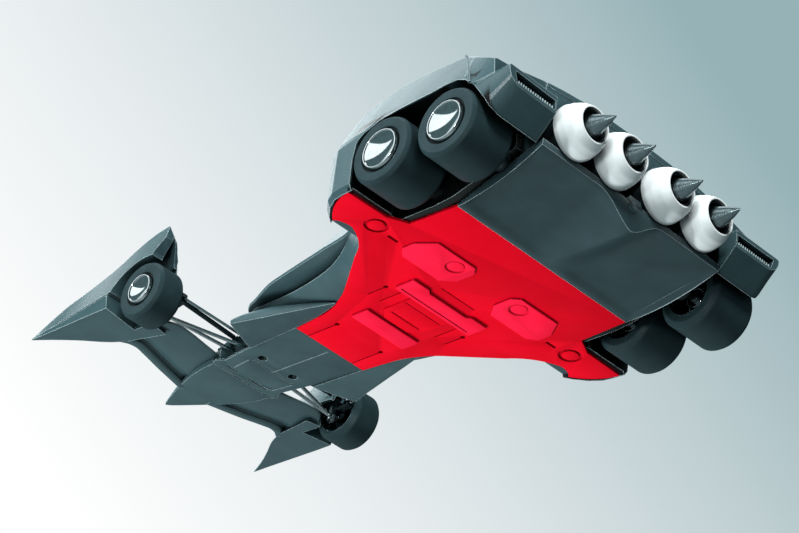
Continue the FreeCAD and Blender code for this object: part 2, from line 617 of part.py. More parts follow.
PIN_X, PIN_Y, PIN_R = X_FRONT, dim("kingpin_out"), dim("kingpin_radius")
ARM_LOW, ARM_HIGH = 9.4, 19.4
ARM_THICK = 1.6
BULKHEAD = (66.0, 76.0)


def bulkhead():
    """The chassis block between the suspension bays that carries the arms' inner ends."""
    block = box((BULKHEAD[0], -9.6, 6.1), (BULKHEAD[1], 9.6, 12.4))
    return block.cut(rod((71.0, -12, 10.9), (71.0, 12, 10.9), 1.6))


def arm(z, inner_points, thick):
    """A wishbone: an eye on the kingpin and rods running in to the bulkhead."""
    eye = Part.makeCylinder(2.4, ARM_THICK, V(PIN_X, PIN_Y, z - ARM_THICK / 2))
    for point in inner_points:
        eye = eye.fuse(rod((PIN_X - 0.8, PIN_Y - 2.1, z), point, thick))
    return eye.cut(Part.makeCylinder(PIN_R, 6, V(PIN_X, PIN_Y, z - 3))).cut(bulkhead())


def knuckle():
    """The upright that turns on the kingpin and carries the stub axle and the steering arm."""
    low, high = ARM_LOW + ARM_THICK / 2 + 0.1, ARM_HIGH - ARM_THICK / 2 - 0.7
    post = Part.makeCylinder(2.3, high - low, V(PIN_X, PIN_Y, low))
    stub_end = dim("front_face") - dim("cap_depth") - 1.0
    stub = rod((PIN_X, PIN_Y, R_WHEEL), (PIN_X, stub_end, R_WHEEL), AXLE_R)
    flange = rod((PIN_X, PIN_Y + 1.4, R_WHEEL), (PIN_X, PIN_Y + 3.4, R_WHEEL), 3.6)
    pin_x = PIN_X - dim("steer_arm")
    lever = box((pin_x - 1.6, PIN_Y - 1.2, 12.4), (PIN_X - 1.5, PIN_Y + 1.2, 13.8))
    pin = Part.makeCylinder(dim("tie_pin_radius"), 3.2, V(pin_x, PIN_Y, 13.8))
    whole = post.fuse(stub).fuse(flange).fuse(lever).fuse(pin)
    return whole.cut(Part.makeCylinder(PIN_R + dim("running_gap"), 30, V(PIN_X, PIN_Y, 0)))


def steering_rack():
    """The sliding cross bar with a tie rod and an eye at each end."""
    eye_x = PIN_X - dim("steer_arm")
    bar = box((68.8, -15.0, 14.3), (71.2, 15.0, 15.3))
    for side in (1, -1):
        bar = bar.fuse(rod((eye_x, side * 14, 14.9), (eye_x, side * (PIN_Y - 1.5), 15.3), 0.6))
        bar = bar.fuse(Part.makeCylinder(2.0, 1.4, V(eye_x, side * PIN_Y, 14.6)))
    for side in (1, -1):
        bar = bar.cut(Part.makeCylinder(dim("tie_eye_radius"), 4, V(eye_x, side * PIN_Y, 13.6)))
    return bar


def kingpins():
    height = ARM_HIGH - ARM_LOW + ARM_THICK + 0.8
    return Part.makeCompound([Part.makeCylinder(PIN_R, height, V(PIN_X, side * PIN_Y, ARM_LOW - ARM_THICK / 2 - 0.4))
                              for side in (1, -1)])


shaped("suspension_bulkhead", bulkhead())
both_sides("lower_arm", arm(ARM_LOW, [(67.4, 9.6, 9.6), (74.4, 9.6, 9.6)], 0.75))
both_sides("upper_arm", arm(ARM_HIGH, [(74.0, 14.6, 15.0)], 1.0))
shaped("kingpins", kingpins())
both_sides("knuckle", knuckle())
shaped("steering_rack", steering_rack())


def brake_disc():
    inner = dim("front_face") - dim("front_tyre_wide") + 4.0 - 0.9
    disc = rod((X_FRONT, inner, R_WHEEL), (X_FRONT, inner + 0.9, R_WHEEL), 7.4)
    for index in range(10):
        angle = math.radians(36 * index)
        x, z = X_FRONT + 5.8 * math.cos(angle), R_WHEEL + 5.8 * math.sin(angle)
        disc = disc.cut(rod((x, inner - 1, z), (x, inner + 2, z), 0.45))
    return disc.cut(rod((X_FRONT, inner - 1, R_WHEEL), (X_FRONT, inner + 2, R_WHEEL), 2.6))


both_sides("brake_disc", brake_disc())

# ----------------------------------------------------------------------------------------------- check and write out
doc.recompute()
for item in doc.Objects:
    if "Invalid" in item.State or "Error" in item.State:
        raise RuntimeError(f"{item.Label} failed: {item.State}")
os.makedirs("parts", exist_ok=True)
for node, item in PARTS.items():
    shape = item.Shape
    if shape.isNull() or not shape.isValid() or shape.Volume < 0.5:
        raise RuntimeError(f"{node} has no valid solid: null {shape.isNull()}, volume {shape.Volume}")
    shape.exportStep(f"parts/{node}.step")
whole = Part.makeCompound([item.Shape for item in PARTS.values()]).BoundBox
print(f"{len(PARTS)} parts, {whole.XMin:.2f} to {whole.XMax:.2f}, {whole.YMin:.2f} to {whole.YMax:.2f}, "
      f"{whole.ZMin:.2f} to {whole.ZMax:.2f}")
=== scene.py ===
"""Looks of the six-wheeled race car model: meshes, materials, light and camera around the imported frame.

Shapes are written in the part's own millimetres and turned into metres when a mesh is made.
"""
import json
import math

import bmesh
import bpy
from mathutils import Matrix, Vector

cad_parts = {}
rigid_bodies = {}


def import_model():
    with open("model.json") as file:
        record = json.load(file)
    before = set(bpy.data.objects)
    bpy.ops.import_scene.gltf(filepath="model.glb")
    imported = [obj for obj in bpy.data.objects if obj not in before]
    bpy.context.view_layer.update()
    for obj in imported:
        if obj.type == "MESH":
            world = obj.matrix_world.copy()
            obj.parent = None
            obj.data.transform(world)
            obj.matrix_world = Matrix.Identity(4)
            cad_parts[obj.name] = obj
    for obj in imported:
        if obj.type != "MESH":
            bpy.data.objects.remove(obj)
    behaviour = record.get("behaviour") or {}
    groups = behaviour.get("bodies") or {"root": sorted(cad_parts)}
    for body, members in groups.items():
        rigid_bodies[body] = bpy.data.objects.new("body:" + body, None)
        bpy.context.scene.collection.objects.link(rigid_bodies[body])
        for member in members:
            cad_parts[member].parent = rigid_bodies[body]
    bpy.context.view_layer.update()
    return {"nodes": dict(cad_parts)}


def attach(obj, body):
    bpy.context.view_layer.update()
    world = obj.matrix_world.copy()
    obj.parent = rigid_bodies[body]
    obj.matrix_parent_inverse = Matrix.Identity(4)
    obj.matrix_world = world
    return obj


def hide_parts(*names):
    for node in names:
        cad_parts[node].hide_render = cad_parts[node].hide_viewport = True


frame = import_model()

MM = 0.001
SIDES = {"left": 1, "right": -1}

# -------------------------------------------------------------------------------------- sizes of the car (mm)
FLOOR = 3.4
FLOOR_THICK = 1.2
WHEEL_R, FRONT_R = 14.0, 12.2
BORE_R = 9.2
X_FRONT = 78.0
X_REAR = {"front": -67.2, "back": -98.8}
REAR_FACE, REAR_WIDE = 79.0, 22.4
FRONT_FACE, FRONT_WIDE = 61.8, 13.2
REAR_CAP_R, FRONT_CAP_R = 8.4, 6.4
NOZZLE_Y = (35.4, 13.4, -13.4, -35.4)
NOZZLE_Z = 25.2
NOZZLE_ROOT, NOZZLE_MOUTH, SPIKE_TIP = -107.0, -130.3, -140.0
BODY_Y = 51.0
SEAM_X = -104.0
TAIL_X = -125.4
DIFFUSER_FRONT, DIFFUSER_REAR = -77.2, -119.0
SHELL_ROOT = -119.3


# -------------------------------------------------------------------------------------------------- materials
def srgb(red, green, blue):
    """A linear colour from eight-bit display values."""
    def linear(value):
        value = value / 255
        return value / 12.92 if value <= 0.04045 else ((value + 0.055) / 1.055) ** 2.4
    return (linear(red), linear(green), linear(blue), 1.0)


class Graph:
    """Shorthand for adding and joining shader nodes."""

    def __init__(self, tree):
        self.nodes, self.links = tree.nodes, tree.links

    def join(self, value, socket):
        """Link an output to a socket, or set the socket to a constant."""
        if isinstance(value, bpy.types.NodeSocket):
            self.links.new(value, socket)
        else:
            socket.default_value = value

    def times(self, one, two):
        node = self.nodes.new("ShaderNodeMath")
        node.operation = "MULTIPLY"
        self.join(one, node.inputs[0])
        self.join(two, node.inputs[1])
        return node.outputs["Value"]

    def dot(self, one, two):
        node = self.nodes.new("ShaderNodeVectorMath")
        node.operation = "DOT_PRODUCT"
        self.join(one, node.inputs[0])
        self.join(two, node.inputs[1])
        return node.outputs["Value"]

    def mix(self, factor, one, two, blend="MIX"):
        node = self.nodes.new("ShaderNodeMix")
        node.data_type = "RGBA"
        node.blend_type = blend
        self.join(factor, node.inputs["Factor"])
        self.join(one, node.inputs[6])
        self.join(two, node.inputs[7])
        return node.outputs[2]

    def span(self, value, low, high, shape="LINEAR"):
        """How far a value lies between two limits, from 0 to 1."""
        node = self.nodes.new("ShaderNodeMapRange")
        node.interpolation_type = shape
        node.inputs["From Min"].default_value = low
        node.inputs["From Max"].default_value = high
        self.links.new(value, node.inputs["Value"])
        return node.outputs["Result"]


class Finish(Graph):
    """A node material on one Principled shader, built up a layer at a time in object space."""

    def __init__(self, name, metallic=0.0, roughness=0.5, specular=0.5, coat=0.0, coat_roughness=0.1):
        self.material = bpy.data.materials.new(name)
        self.material.use_nodes = True
        super().__init__(self.material.node_tree)
        self.shader = self.nodes["Principled BSDF"]
        self.base = self.shader.inputs["Base Color"]
        self.shader.inputs["Metallic"].default_value = metallic
        self.shader.inputs["Roughness"].default_value = roughness
        self.shader.inputs["Specular IOR Level"].default_value = specular
        self.shader.inputs["Coat Weight"].default_value = coat
        self.shader.inputs["Coat Roughness"].default_value = coat_roughness
        self.place = self.nodes.new("ShaderNodeTexCoord").outputs["Object"]

    def noise(self, per_metre, detail=3.0, stretch=(1, 1, 1)):
        source = self.place
        if stretch != (1, 1, 1):
            mapping = self.nodes.new("ShaderNodeMapping")
            mapping.inputs["Scale"].default_value = stretch
            self.links.new(self.place, mapping.inputs["Vector"])
            source = mapping.outputs["Vector"]
        node = self.nodes.new("ShaderNodeTexNoise")
        node.inputs["Scale"].default_value = per_metre
        node.inputs["Detail"].default_value = detail
        self.links.new(source, node.inputs["Vector"])
        return node.outputs["Fac"]

    def ramp(self, factor, low, high, start=0.3, end=0.7):
        """Blend of two colours, or of two greys where numbers are given, over a span of the factor."""
        node = self.nodes.new("ShaderNodeValToRGB")
        stops = node.color_ramp.elements
        stops[0].position, stops[1].position = start, end
        stops[0].color = low if isinstance(low, tuple) else (low, low, low, 1)
        stops[1].color = high if isinstance(high, tuple) else (high, high, high, 1)
        self.links.new(factor, node.inputs["Fac"])
        return node.outputs["Color"]

    def colour(self, factor, low, high, start=0.3, end=0.7):
        self.links.new(self.ramp(factor, low, high, start, end), self.base)

    def rough(self, factor, low, high, start=0.3, end=0.7):
        self.links.new(self.ramp(factor, low, high, start, end), self.shader.inputs["Roughness"])

    def paint_shade_and_edge_highlights(self, edge_highlight_tone=None, reach=0.006, edge=0.00035):
        """Paint shade into the base colour in recesses, and paint a lighter highlight along crisp edges where an
        edge highlight tone is given.
        """
        # Ambient occlusion darkens the colour in recesses: painted shade.
        hollow = self.nodes.new("ShaderNodeAmbientOcclusion")
        hollow.samples = 6
        hollow.inputs["Distance"].default_value = reach
        openness = hollow.outputs["AO"]
        painted_shade = self.ramp(openness, 0.12, 1.0, 0.25, 0.8)
        result = self.mix(1.0, self.base.links[0].from_socket, painted_shade, "MULTIPLY")
        if edge_highlight_tone:
            # A lighter tone on crisp edges, found from the bevel normal: painted highlight.
            rounded = self.nodes.new("ShaderNodeBevel")
            rounded.samples = 4
            rounded.inputs["Radius"].default_value = edge
            plain = self.nodes.new("ShaderNodeNewGeometry").outputs["Normal"]
            painted_edge_highlight = self.ramp(self.dot(rounded.outputs["Normal"], plain), 0.85, 0.0, 0.90, 0.992)
            painted_edge_highlight = self.times(painted_edge_highlight, self.ramp(openness, 0.0, 1.0, 0.45, 0.75))
            result = self.mix(painted_edge_highlight, result, edge_highlight_tone)
        self.links.new(result, self.base)

    def paint_well_shade(self):
        """Painted shade: near-black colour inside the rear wheel wells, by place on the car."""
        split = self.nodes.new("ShaderNodeSeparateXYZ")
        self.links.new(self.place, split.inputs["Vector"])
        across = self.nodes.new("ShaderNodeMath")
        across.operation = "ABSOLUTE"
        self.links.new(split.outputs["Y"], across.inputs[0])
        ahead, aside, above = split.outputs["X"], across.outputs["Value"], split.outputs["Z"]
        inside = 1.0
        # a coordinate, then where along it the painted shade begins and where it is full, in metres
        for along, start, full in ((ahead, -0.0502, -0.0506), (ahead, -0.1176, -0.1170),
                                   (aside, 0.0464, 0.0470),
                                   (aside, 0.0775, 0.0770), (above, 0.0322, 0.0316)):
            inside = self.times(self.span(along, start, full), inside)
        well_shade_colour = (0.002, 0.003, 0.003, 1)
        self.links.new(self.mix(inside, self.base.links[0].from_socket, well_shade_colour), self.base)

    def bump(self, height, strength, depth):
        node = self.nodes.new("ShaderNodeBump")
        node.inputs["Strength"].default_value = strength
        node.inputs["Distance"].default_value = depth
        self.links.new(height, node.inputs["Height"])
        self.links.new(node.outputs["Normal"], self.shader.inputs["Normal"])


def satin_paint(name, low, high, roughness=0.4, specular=0.5, grain=2600, grain_depth=0.00003, edge_highlight_tone=None,
                wells=False):
    """Sprayed satin paint: slow tone changes, a fine sprayed grain and slightly uneven gloss."""
    finish = Finish(name, roughness=roughness, specular=specular)
    finish.colour(finish.noise(90, 4.0), low, high)
    # Painted shade inside the rear wheel wells where asked.
    if wells:
        finish.paint_well_shade()
    # Painted shade in recesses and painted highlights along crisp edges.
    finish.paint_shade_and_edge_highlights(edge_highlight_tone)
    fine = finish.noise(grain, 2.0)
    finish.rough(fine, roughness - 0.06, roughness + 0.08)
    finish.bump(fine, 0.35, grain_depth)
    return finish.material


def rubber(name):
    finish = Finish(name, roughness=0.5, specular=0.22)
    finish.colour(finish.noise(160, 3.0), srgb(36, 52, 56), srgb(42, 59, 63))
    # Painted shade in recesses and a painted highlight along the tyre's crisp shoulders.
    finish.paint_shade_and_edge_highlights(srgb(120, 140, 145), 0.010, 0.0003)
    fine = finish.noise(3400, 2.0)
    finish.rough(fine, 0.42, 0.56)
    finish.bump(fine, 0.25, 0.00002)
    return finish.material


def turned_metal(name, tint, roughness, rings=0.0):
    """Metal, with the fine marks of a lathe along x where their depth is given."""
    finish = Finish(name, metallic=1.0, roughness=roughness)
    finish.colour(finish.noise(500, 2.0), tint, tuple(0.82 * value for value in tint[:3]) + (1.0,))
    if rings:
        lines = finish.noise(5200, 1.0, (1, 0.02, 0.02))
        finish.rough(lines, roughness - 0.08, roughness + 0.14)
        finish.bump(lines, rings, 0.00003)
    return finish.material


def plain_dark(name, low, high, roughness):
    finish = Finish(name, roughness=roughness, specular=0.3)
    grain = finish.noise(1800, 3.0)
    finish.colour(grain, low, high)
    finish.bump(grain, 0.3, 0.00003)
    return finish.material


# Light tone of the painted highlights along crisp edges of the slate paints; the body slate also gets painted shade
# in its wheel wells.
EDGE_HIGHLIGHT_TONE = srgb(205, 222, 226)
SLATE = satin_paint("body_slate", srgb(56, 79, 84), srgb(64, 87, 92), 0.31, 0.55, edge_highlight_tone=EDGE_HIGHLIGHT_TONE,
                    wells=True)
SLATE_UNDER = satin_paint("body_slate_under", srgb(58, 80, 85), srgb(68, 91, 96), 0.44, 0.5,
                          edge_highlight_tone=EDGE_HIGHLIGHT_TONE)
# A darker copy of the body slate for the diffuser underside: painted shade.
SLATE_SHADED_COPY = satin_paint("body_slate_shaded_copy", srgb(46, 65, 70), srgb(54, 75, 80), 0.34, 0.55,
                          edge_highlight_tone=EDGE_HIGHLIGHT_TONE)
RED = satin_paint("floor_red", srgb(216, 1, 26), srgb(222, 3, 32), 0.6, 0.1)
RED_PAD = satin_paint("floor_red_pad", srgb(244, 20, 56), srgb(250, 28, 64), 0.6, 0.1)
TYRE = rubber("tyre_rubber")
CHROME = turned_metal("polished_rim", srgb(214, 222, 224), 0.06)
CHROME_LINK = turned_metal("chrome_link", srgb(205, 214, 216), 0.14)
STEEL = turned_metal("axle_steel", srgb(120, 130, 134), 0.32)
SPUN = turned_metal("spun_metal", srgb(140, 156, 161), 0.30, 0.5)
WHITE = satin_paint("nozzle_white", srgb(240, 245, 246), srgb(248, 251, 251), 0.42, 0.4, 2000, 0.00001)
NOZZLE_DARK = plain_dark("nozzle_dark", srgb(20, 26, 28), srgb(30, 38, 41), 0.5)
GRILLE = plain_dark("grille_black", srgb(12, 16, 17), srgb(20, 25, 27), 0.5)
# Light grey on the small vent teeth: a painted highlight.
TEETH_PAINTED_HIGHLIGHT = satin_paint("vent_teeth", srgb(150, 168, 172), srgb(170, 186, 190), 0.4, 0.5)
DARK_METAL = turned_metal("dark_metal", srgb(60, 72, 76), 0.35)


def canopy_glass(name):
    finish = Finish(name, roughness=0.08, specular=0.6, coat=1.0, coat_roughness=0.03)
    finish.colour(finish.noise(60, 2.0), srgb(10, 14, 17), srgb(18, 24, 28))
    finish.rough(finish.noise(700, 2.0), 0.06, 0.12)
    return finish.material


GLASS = canopy_glass("canopy_glass")


# ----------------------------------------------------------------------------------------------- mesh helpers
def new_object(name, mesh, material):
    obj = bpy.data.objects.new(name, mesh)
    bpy.context.scene.collection.objects.link(obj)
    if material is not None:
        mesh.materials.clear()
        mesh.materials.append(material)
    return obj


def mesh_of(points, faces):
    """A closed mesh with outward normals, in millimetres until it becomes a piece."""
    mesh = bpy.data.meshes.new("shape")
    mesh.from_pydata([Vector(p) for p in points], [], faces)
    work = bmesh.new()
    work.from_mesh(mesh)
    bmesh.ops.remove_doubles(work, verts=work.verts, dist=0.002)
    bmesh.ops.recalc_face_normals(work, faces=work.faces)
    work.to_mesh(mesh)
    work.free()
    return mesh


def applied(obj):
    """The same object with its modifiers made real."""
    graph = bpy.context.evaluated_depsgraph_get()
    mesh = bpy.data.meshes.new_from_object(obj.evaluated_get(graph))
    obj.modifiers.clear()
    old = obj.data
    obj.data = mesh
    bpy.data.meshes.remove(old)
    return obj


def between(rows, steps):
    """Rows of corners joined by smooth curves along the length, with extra rows in between."""
    rows = [[Vector(p) for p in row] for row in rows]
    count = len(rows)
    if count < 3 or steps < 2:
        return rows
    centres = [sum(row, Vector()) / len(row) for row in rows]
    at = [0.0]
    for one, two in zip(centres, centres[1:]):
        at.append(at[-1] + max((two - one).length, 0.01))

    def slope(k, c):
        if k == 0:
            return (rows[1][c] - rows[0][c]) / (at[1] - at[0])
        if k == count - 1:
            return (rows[-1][c] - rows[-2][c]) / (at[-1] - at[-2])
        before = (rows[k][c] - rows[k - 1][c]) / (at[k] - at[k - 1])
        after = (rows[k + 1][c] - rows[k][c]) / (at[k + 1] - at[k])
        return (before * (at[k + 1] - at[k]) + after * (at[k] - at[k - 1])) / (at[k + 1] - at[k - 1])

    out = []
    for k in range(count - 1):
        span = at[k + 1] - at[k]
        for step in range(steps):
            t = step / steps
            a, b = 2 * t ** 3 - 3 * t ** 2 + 1, t ** 3 - 2 * t ** 2 + t
            c, d = -2 * t ** 3 + 3 * t ** 2, t ** 3 - t ** 2
            out.append([rows[k][i] * a + slope(k, i) * (b * span) + rows[k + 1][i] * c + slope(k + 1,
                                                                                               i) * (d * span)
                        for i in range(len(rows[k]))])
    out.append(rows[-1])
    return out


def loft(rows, steps=1):
    """A closed skin through rows of corners, smooth along its length."""
    rows = between(rows, steps)
    wide = len(rows[0])
    points = [p for row in rows for p in row]
    faces = [tuple(range(wide)), tuple(reversed(range((len(rows) - 1) * wide, len(rows) * wide)))]
    for k in range(len(rows) - 1):
        for i in range(wide):
            j = (i + 1) % wide
            faces.append((k * wide + i, k * wide + j, (k + 1) * wide + j, (k + 1) * wide + i))
    return mesh_of(points, faces)


def softened(corners, closed=True, per_arc=5):
    """An outline (a, b, radius) with its corners turned into arcs."""
    out = []
    count = len(corners)
    for k, (a, b, *rest) in enumerate(corners):
        radius = rest[0] if rest else 0.0
        ends = not closed and k in (0, count - 1)
        if radius <= 0 or ends:
            out.append((a, b))
            continue
        here = Vector((a, b))
        back = Vector(corners[k - 1][:2]) - here
        ahead = Vector(corners[(k + 1) % count][:2]) - here
        turn = back.angle(ahead)
        reach = min(radius / math.tan(turn / 2), 0.48 * back.length, 0.48 * ahead.length)
        one, two = here + back.normalized() * reach, here + ahead.normalized() * reach
        for step in range(per_arc + 1):
            t = step / per_arc
            spot = one * (1 - t) ** 2 + here * (2 * t * (1 - t)) + two * t ** 2
            out.append((spot.x, spot.y))
    return out


def turned_point(axis, centre, along, radius, angle):
    """A point at a distance round an axis through a centre."""
    one, two = radius * math.cos(angle), radius * math.sin(angle)
    if axis == "X":
        return (along, centre[1] + one, centre[2] + two)
    if axis == "Y":
        return (centre[0] + one, along, centre[2] + two)
    return (centre[0] + one, centre[1] + two, along)


def lathe(profile, axis, centre, turns=96):
    """A turned closed shape from an outline of (radius, along axis), round an axis through a centre."""
    profile = softened(profile)
    wide = len(profile)
    points, faces = [], []
    for k in range(turns):
        angle = 2 * math.pi * k / turns
        points += [turned_point(axis, centre, along, radius, angle) for radius, along in profile]
        n = (k + 1) % turns
        for i in range(wide):
            j = (i + 1) % wide
            faces.append((k * wide + i, k * wide + j, n * wide + j, n * wide + i))
    mesh = mesh_of(points, faces)
    work = bmesh.new()
    work.from_mesh(mesh)
    bmesh.ops.dissolve_degenerate(work, edges=work.edges, dist=0.002)
    bmesh.ops.recalc_face_normals(work, faces=work.faces)
    work.to_mesh(mesh)
    work.free()
    return mesh


def slab(outline, low, high):
    """A plate from an (x, y) outline between two heights."""
    return loft([[(x, y, z) for x, y in outline] for z in (low, high)])


def push(outline, shift):
    """A prism from a flat ring of 3-D points pushed along a vector."""
    return loft([outline, [Vector(p) + Vector(shift) for p in outline]])


def block(low, high):
    return slab([(low[0], low[1]), (high[0], low[1]), (high[0], high[1]), (low[0], high[1])], low[2], high[2])


def drum(start, end, radius, turns=48, end_radius=None):
    """A closed cylinder or cone between two points."""
    start, end = Vector(start), Vector(end)
    along = (end - start).normalized()
    side = along.orthogonal().normalized()
    other = along.cross(side)
    end_radius = radius if end_radius is None else end_radius
    ring = [(math.cos(2 * math.pi * k / turns), math.sin(2 * math.pi * k / turns)) for k in range(turns)]
    ends = ((start, radius), (end, end_radius))
    return loft([[spot + (side * c + other * s) * r for c, s in ring] for spot, r in ends])


def section(x, first, left, last):
    """A closed section: first middle height, left side as (y, z), last middle height and the mirror image."""
    mirrored = [(x, -y, z) for y, z in reversed(left)]
    return [(x, 0.0, first)] + [(x, y, z) for y, z in left] + [(x, 0.0, last)] + mirrored


def carved(mesh, cutters, operation="DIFFERENCE"):
    """The mesh less each cutter mesh, or joined with it."""
    obj = new_object("work", mesh, None)
    helpers = []
    for cutter in cutters:
        helper = new_object("cutter", cutter, None)
        helpers.append(helper)
        step = obj.modifiers.new("cut", "BOOLEAN")
        step.object = helper
        step.operation = operation
        step.solver = "EXACT"
    bpy.context.view_layer.update()
    applied(obj)
    result = obj.data
    bpy.data.objects.remove(obj)
    for helper in helpers:
        old = helper.data
        bpy.data.objects.remove(helper)
        bpy.data.meshes.remove(old)
    return result


def largest(mesh):
    """The biggest connected piece of a mesh."""
    work = bmesh.new()
    work.from_mesh(mesh)
    left = set(work.verts)
    best = []
    while left:
        group, queue = [], [left.pop()]
        while queue:
            vert = queue.pop()
            group.append(vert)
            for edge in vert.link_edges:
                other = edge.other_vert(vert)
                if other in left:
                    left.remove(other)
                    queue.append(other)
        if len(group) > len(best):
            best = group
    keep = set(best)
    bmesh.ops.delete(work, geom=[v for v in work.verts if v not in keep], context="VERTS")
    work.to_mesh(mesh)
    work.free()
    return mesh


def merged(meshes):
    """Several separate shells in one mesh."""
    work = bmesh.new()
    for mesh in meshes:
        work.from_mesh(mesh)
    out = bpy.data.meshes.new("group")
    work.to_mesh(out)
    work.free()
    return out


def flipped(mesh):
    """The mesh on the other side of the car."""
    work = bmesh.new()
    work.from_mesh(mesh)
    bmesh.ops.scale(work, vec=(1, -1, 1), verts=work.verts)
    bmesh.ops.reverse_faces(work, faces=work.faces)
    out = bpy.data.meshes.new("mirror")
    work.to_mesh(out)
    work.free()
    return out


def piece(name, mesh, material, body="chassis", nodes=(), bevel=0.0, angle=28, sharp=32):
    """A finished piece: tidy mesh, bevelled crisp edges, its body and the nodes it stands for.

    A piece named after a node, with _skin added, stands for that node.
    """
    work = bmesh.new()
    work.from_mesh(mesh)
    bmesh.ops.dissolve_degenerate(work, edges=work.edges, dist=0.004)
    if bevel:
        bmesh.ops.dissolve_limit(work, angle_limit=math.radians(0.6), verts=work.verts, edges=work.edges)
    work.to_mesh(mesh)
    work.free()
    obj = new_object(name, mesh, material)
    if bevel:
        edge = obj.modifiers.new("edge", "BEVEL")
        edge.width = bevel
        edge.segments = 2
        edge.limit_method = "ANGLE"
        edge.angle_limit = math.radians(angle)
        edge.use_clamp_overlap = True
        edge.miter_outer = "MITER_ARC"
        applied(obj)
        obj.data.materials.clear()
        obj.data.materials.append(material)
    obj.data.transform(Matrix.Scale(MM, 4))
    for face in obj.data.polygons:
        face.use_smooth = True
    obj.data.set_sharp_from_angle(angle=math.radians(sharp))
    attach(obj, body)
    if name.endswith("_skin"):
        nodes = (name.removesuffix("_skin"),)
    if nodes:
        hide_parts(*nodes)


def both(name, mesh, material, **looks):
    """A chassis piece and its mirror image."""
    for side, shape in (("right", flipped(mesh)), ("left", mesh)):
        piece(f"{name}_{side}_skin", shape, material, **looks)


def arc(a, b, c, steps):
    """Points of the circular arc through three points in the plane."""
    (ax, ay), (bx, by), (cx, cy) = a, b, c
    d = 2 * (ax * (by - cy) + bx * (cy - ay) + cx * (ay - by))
    ux = ((ax ** 2 + ay ** 2) * (by - cy) + (bx ** 2 + by ** 2) * (cy - ay) + (cx ** 2 + cy ** 2) * (ay - by)) / d
    uy = ((ax ** 2 + ay ** 2) * (cx - bx) + (bx ** 2 + by ** 2) * (ax - cx) + (cx ** 2 + cy ** 2) * (bx - ax)) / d
    start, mid, end = (math.atan2(p[1] - uy, p[0] - ux) for p in (a, b, c))
    radius = math.hypot(ax - ux, ay - uy)

    def after(angle):
        return (angle - start) % (2 * math.pi)
    sweep = after(end) if after(mid) < after(end) else after(end) - 2 * math.pi
    span = [start + sweep * k / steps for k in range(steps + 1)]
    return [(ux + radius * math.cos(t), uy + radius * math.sin(t)) for t in span]


# ------------------------------------------------------------------------------------------- camera and light
VIEW_RIGHT = Vector((-0.7247, -0.6801, 0.1110))
VIEW_UP = Vector((-0.2958, 0.4526, 0.8412))
VIEW_BACK = Vector((-0.6223, 0.5768, -0.5292))
VIEW_FROM = Vector((-816.85, 757.03, -664.41)) * MM


def make_camera():
    data = bpy.data.cameras.new("camera")
    data.sensor_width = 36.0
    data.lens = 153.2
    data.clip_start, data.clip_end = 0.05, 20.0
    camera = bpy.data.objects.new("camera", data)
    bpy.context.scene.collection.objects.link(camera)
    turn = Matrix((VIEW_RIGHT, VIEW_UP, VIEW_BACK)).transposed()
    camera.matrix_world = Matrix.Translation(VIEW_FROM) @ turn.to_4x4()
    bpy.context.scene.camera = camera


def add_light(name, place, size, power, colour=(1, 1, 1), shiny=True):
    """A soft square area light at a place in metres, aimed at the middle of the car."""
    data = bpy.data.lights.new(name, "AREA")
    data.shape = "SQUARE"
    data.size = size
    data.energy = power
    data.color = colour
    lamp = bpy.data.objects.new(name, data)
    bpy.context.scene.collection.objects.link(lamp)
    lamp.location = place
    aim = Vector((0, 0, 0.02)) - Vector(place)
    lamp.rotation_euler = aim.to_track_quat("-Z", "Y").to_euler()
    lamp.visible_camera = False
    lamp.visible_glossy = shiny
    return lamp


# The backdrop fades from white through a pale tone to blue-grey: sine of the angle off the view axis, and tone.
BACKDROP = [(-0.12, srgb(255, 255, 255)), (-0.04, srgb(230, 236, 238)), (0.11, srgb(150, 178, 183))]


FILL_FROM = Vector((0.45, 0.25, -0.86)).normalized()
MIRROR_SIDE = Vector((0.62, 0.58, 0.53)).normalized()
GLARE = Vector((0.73, -0.26, 0.63)).normalized()
OVERHEAD = Vector((0.1, -0.05, 0.99)).normalized()
# Corners of the panel that the dished wheel caps show as a bright wedge, as directions from the car.
PANEL = (Vector((0.812, 0.308, 0.495)), Vector((0.223, 0.938, 0.260)), Vector((0.299, 0.658, 0.691)))
PANEL_REACH = 1.9


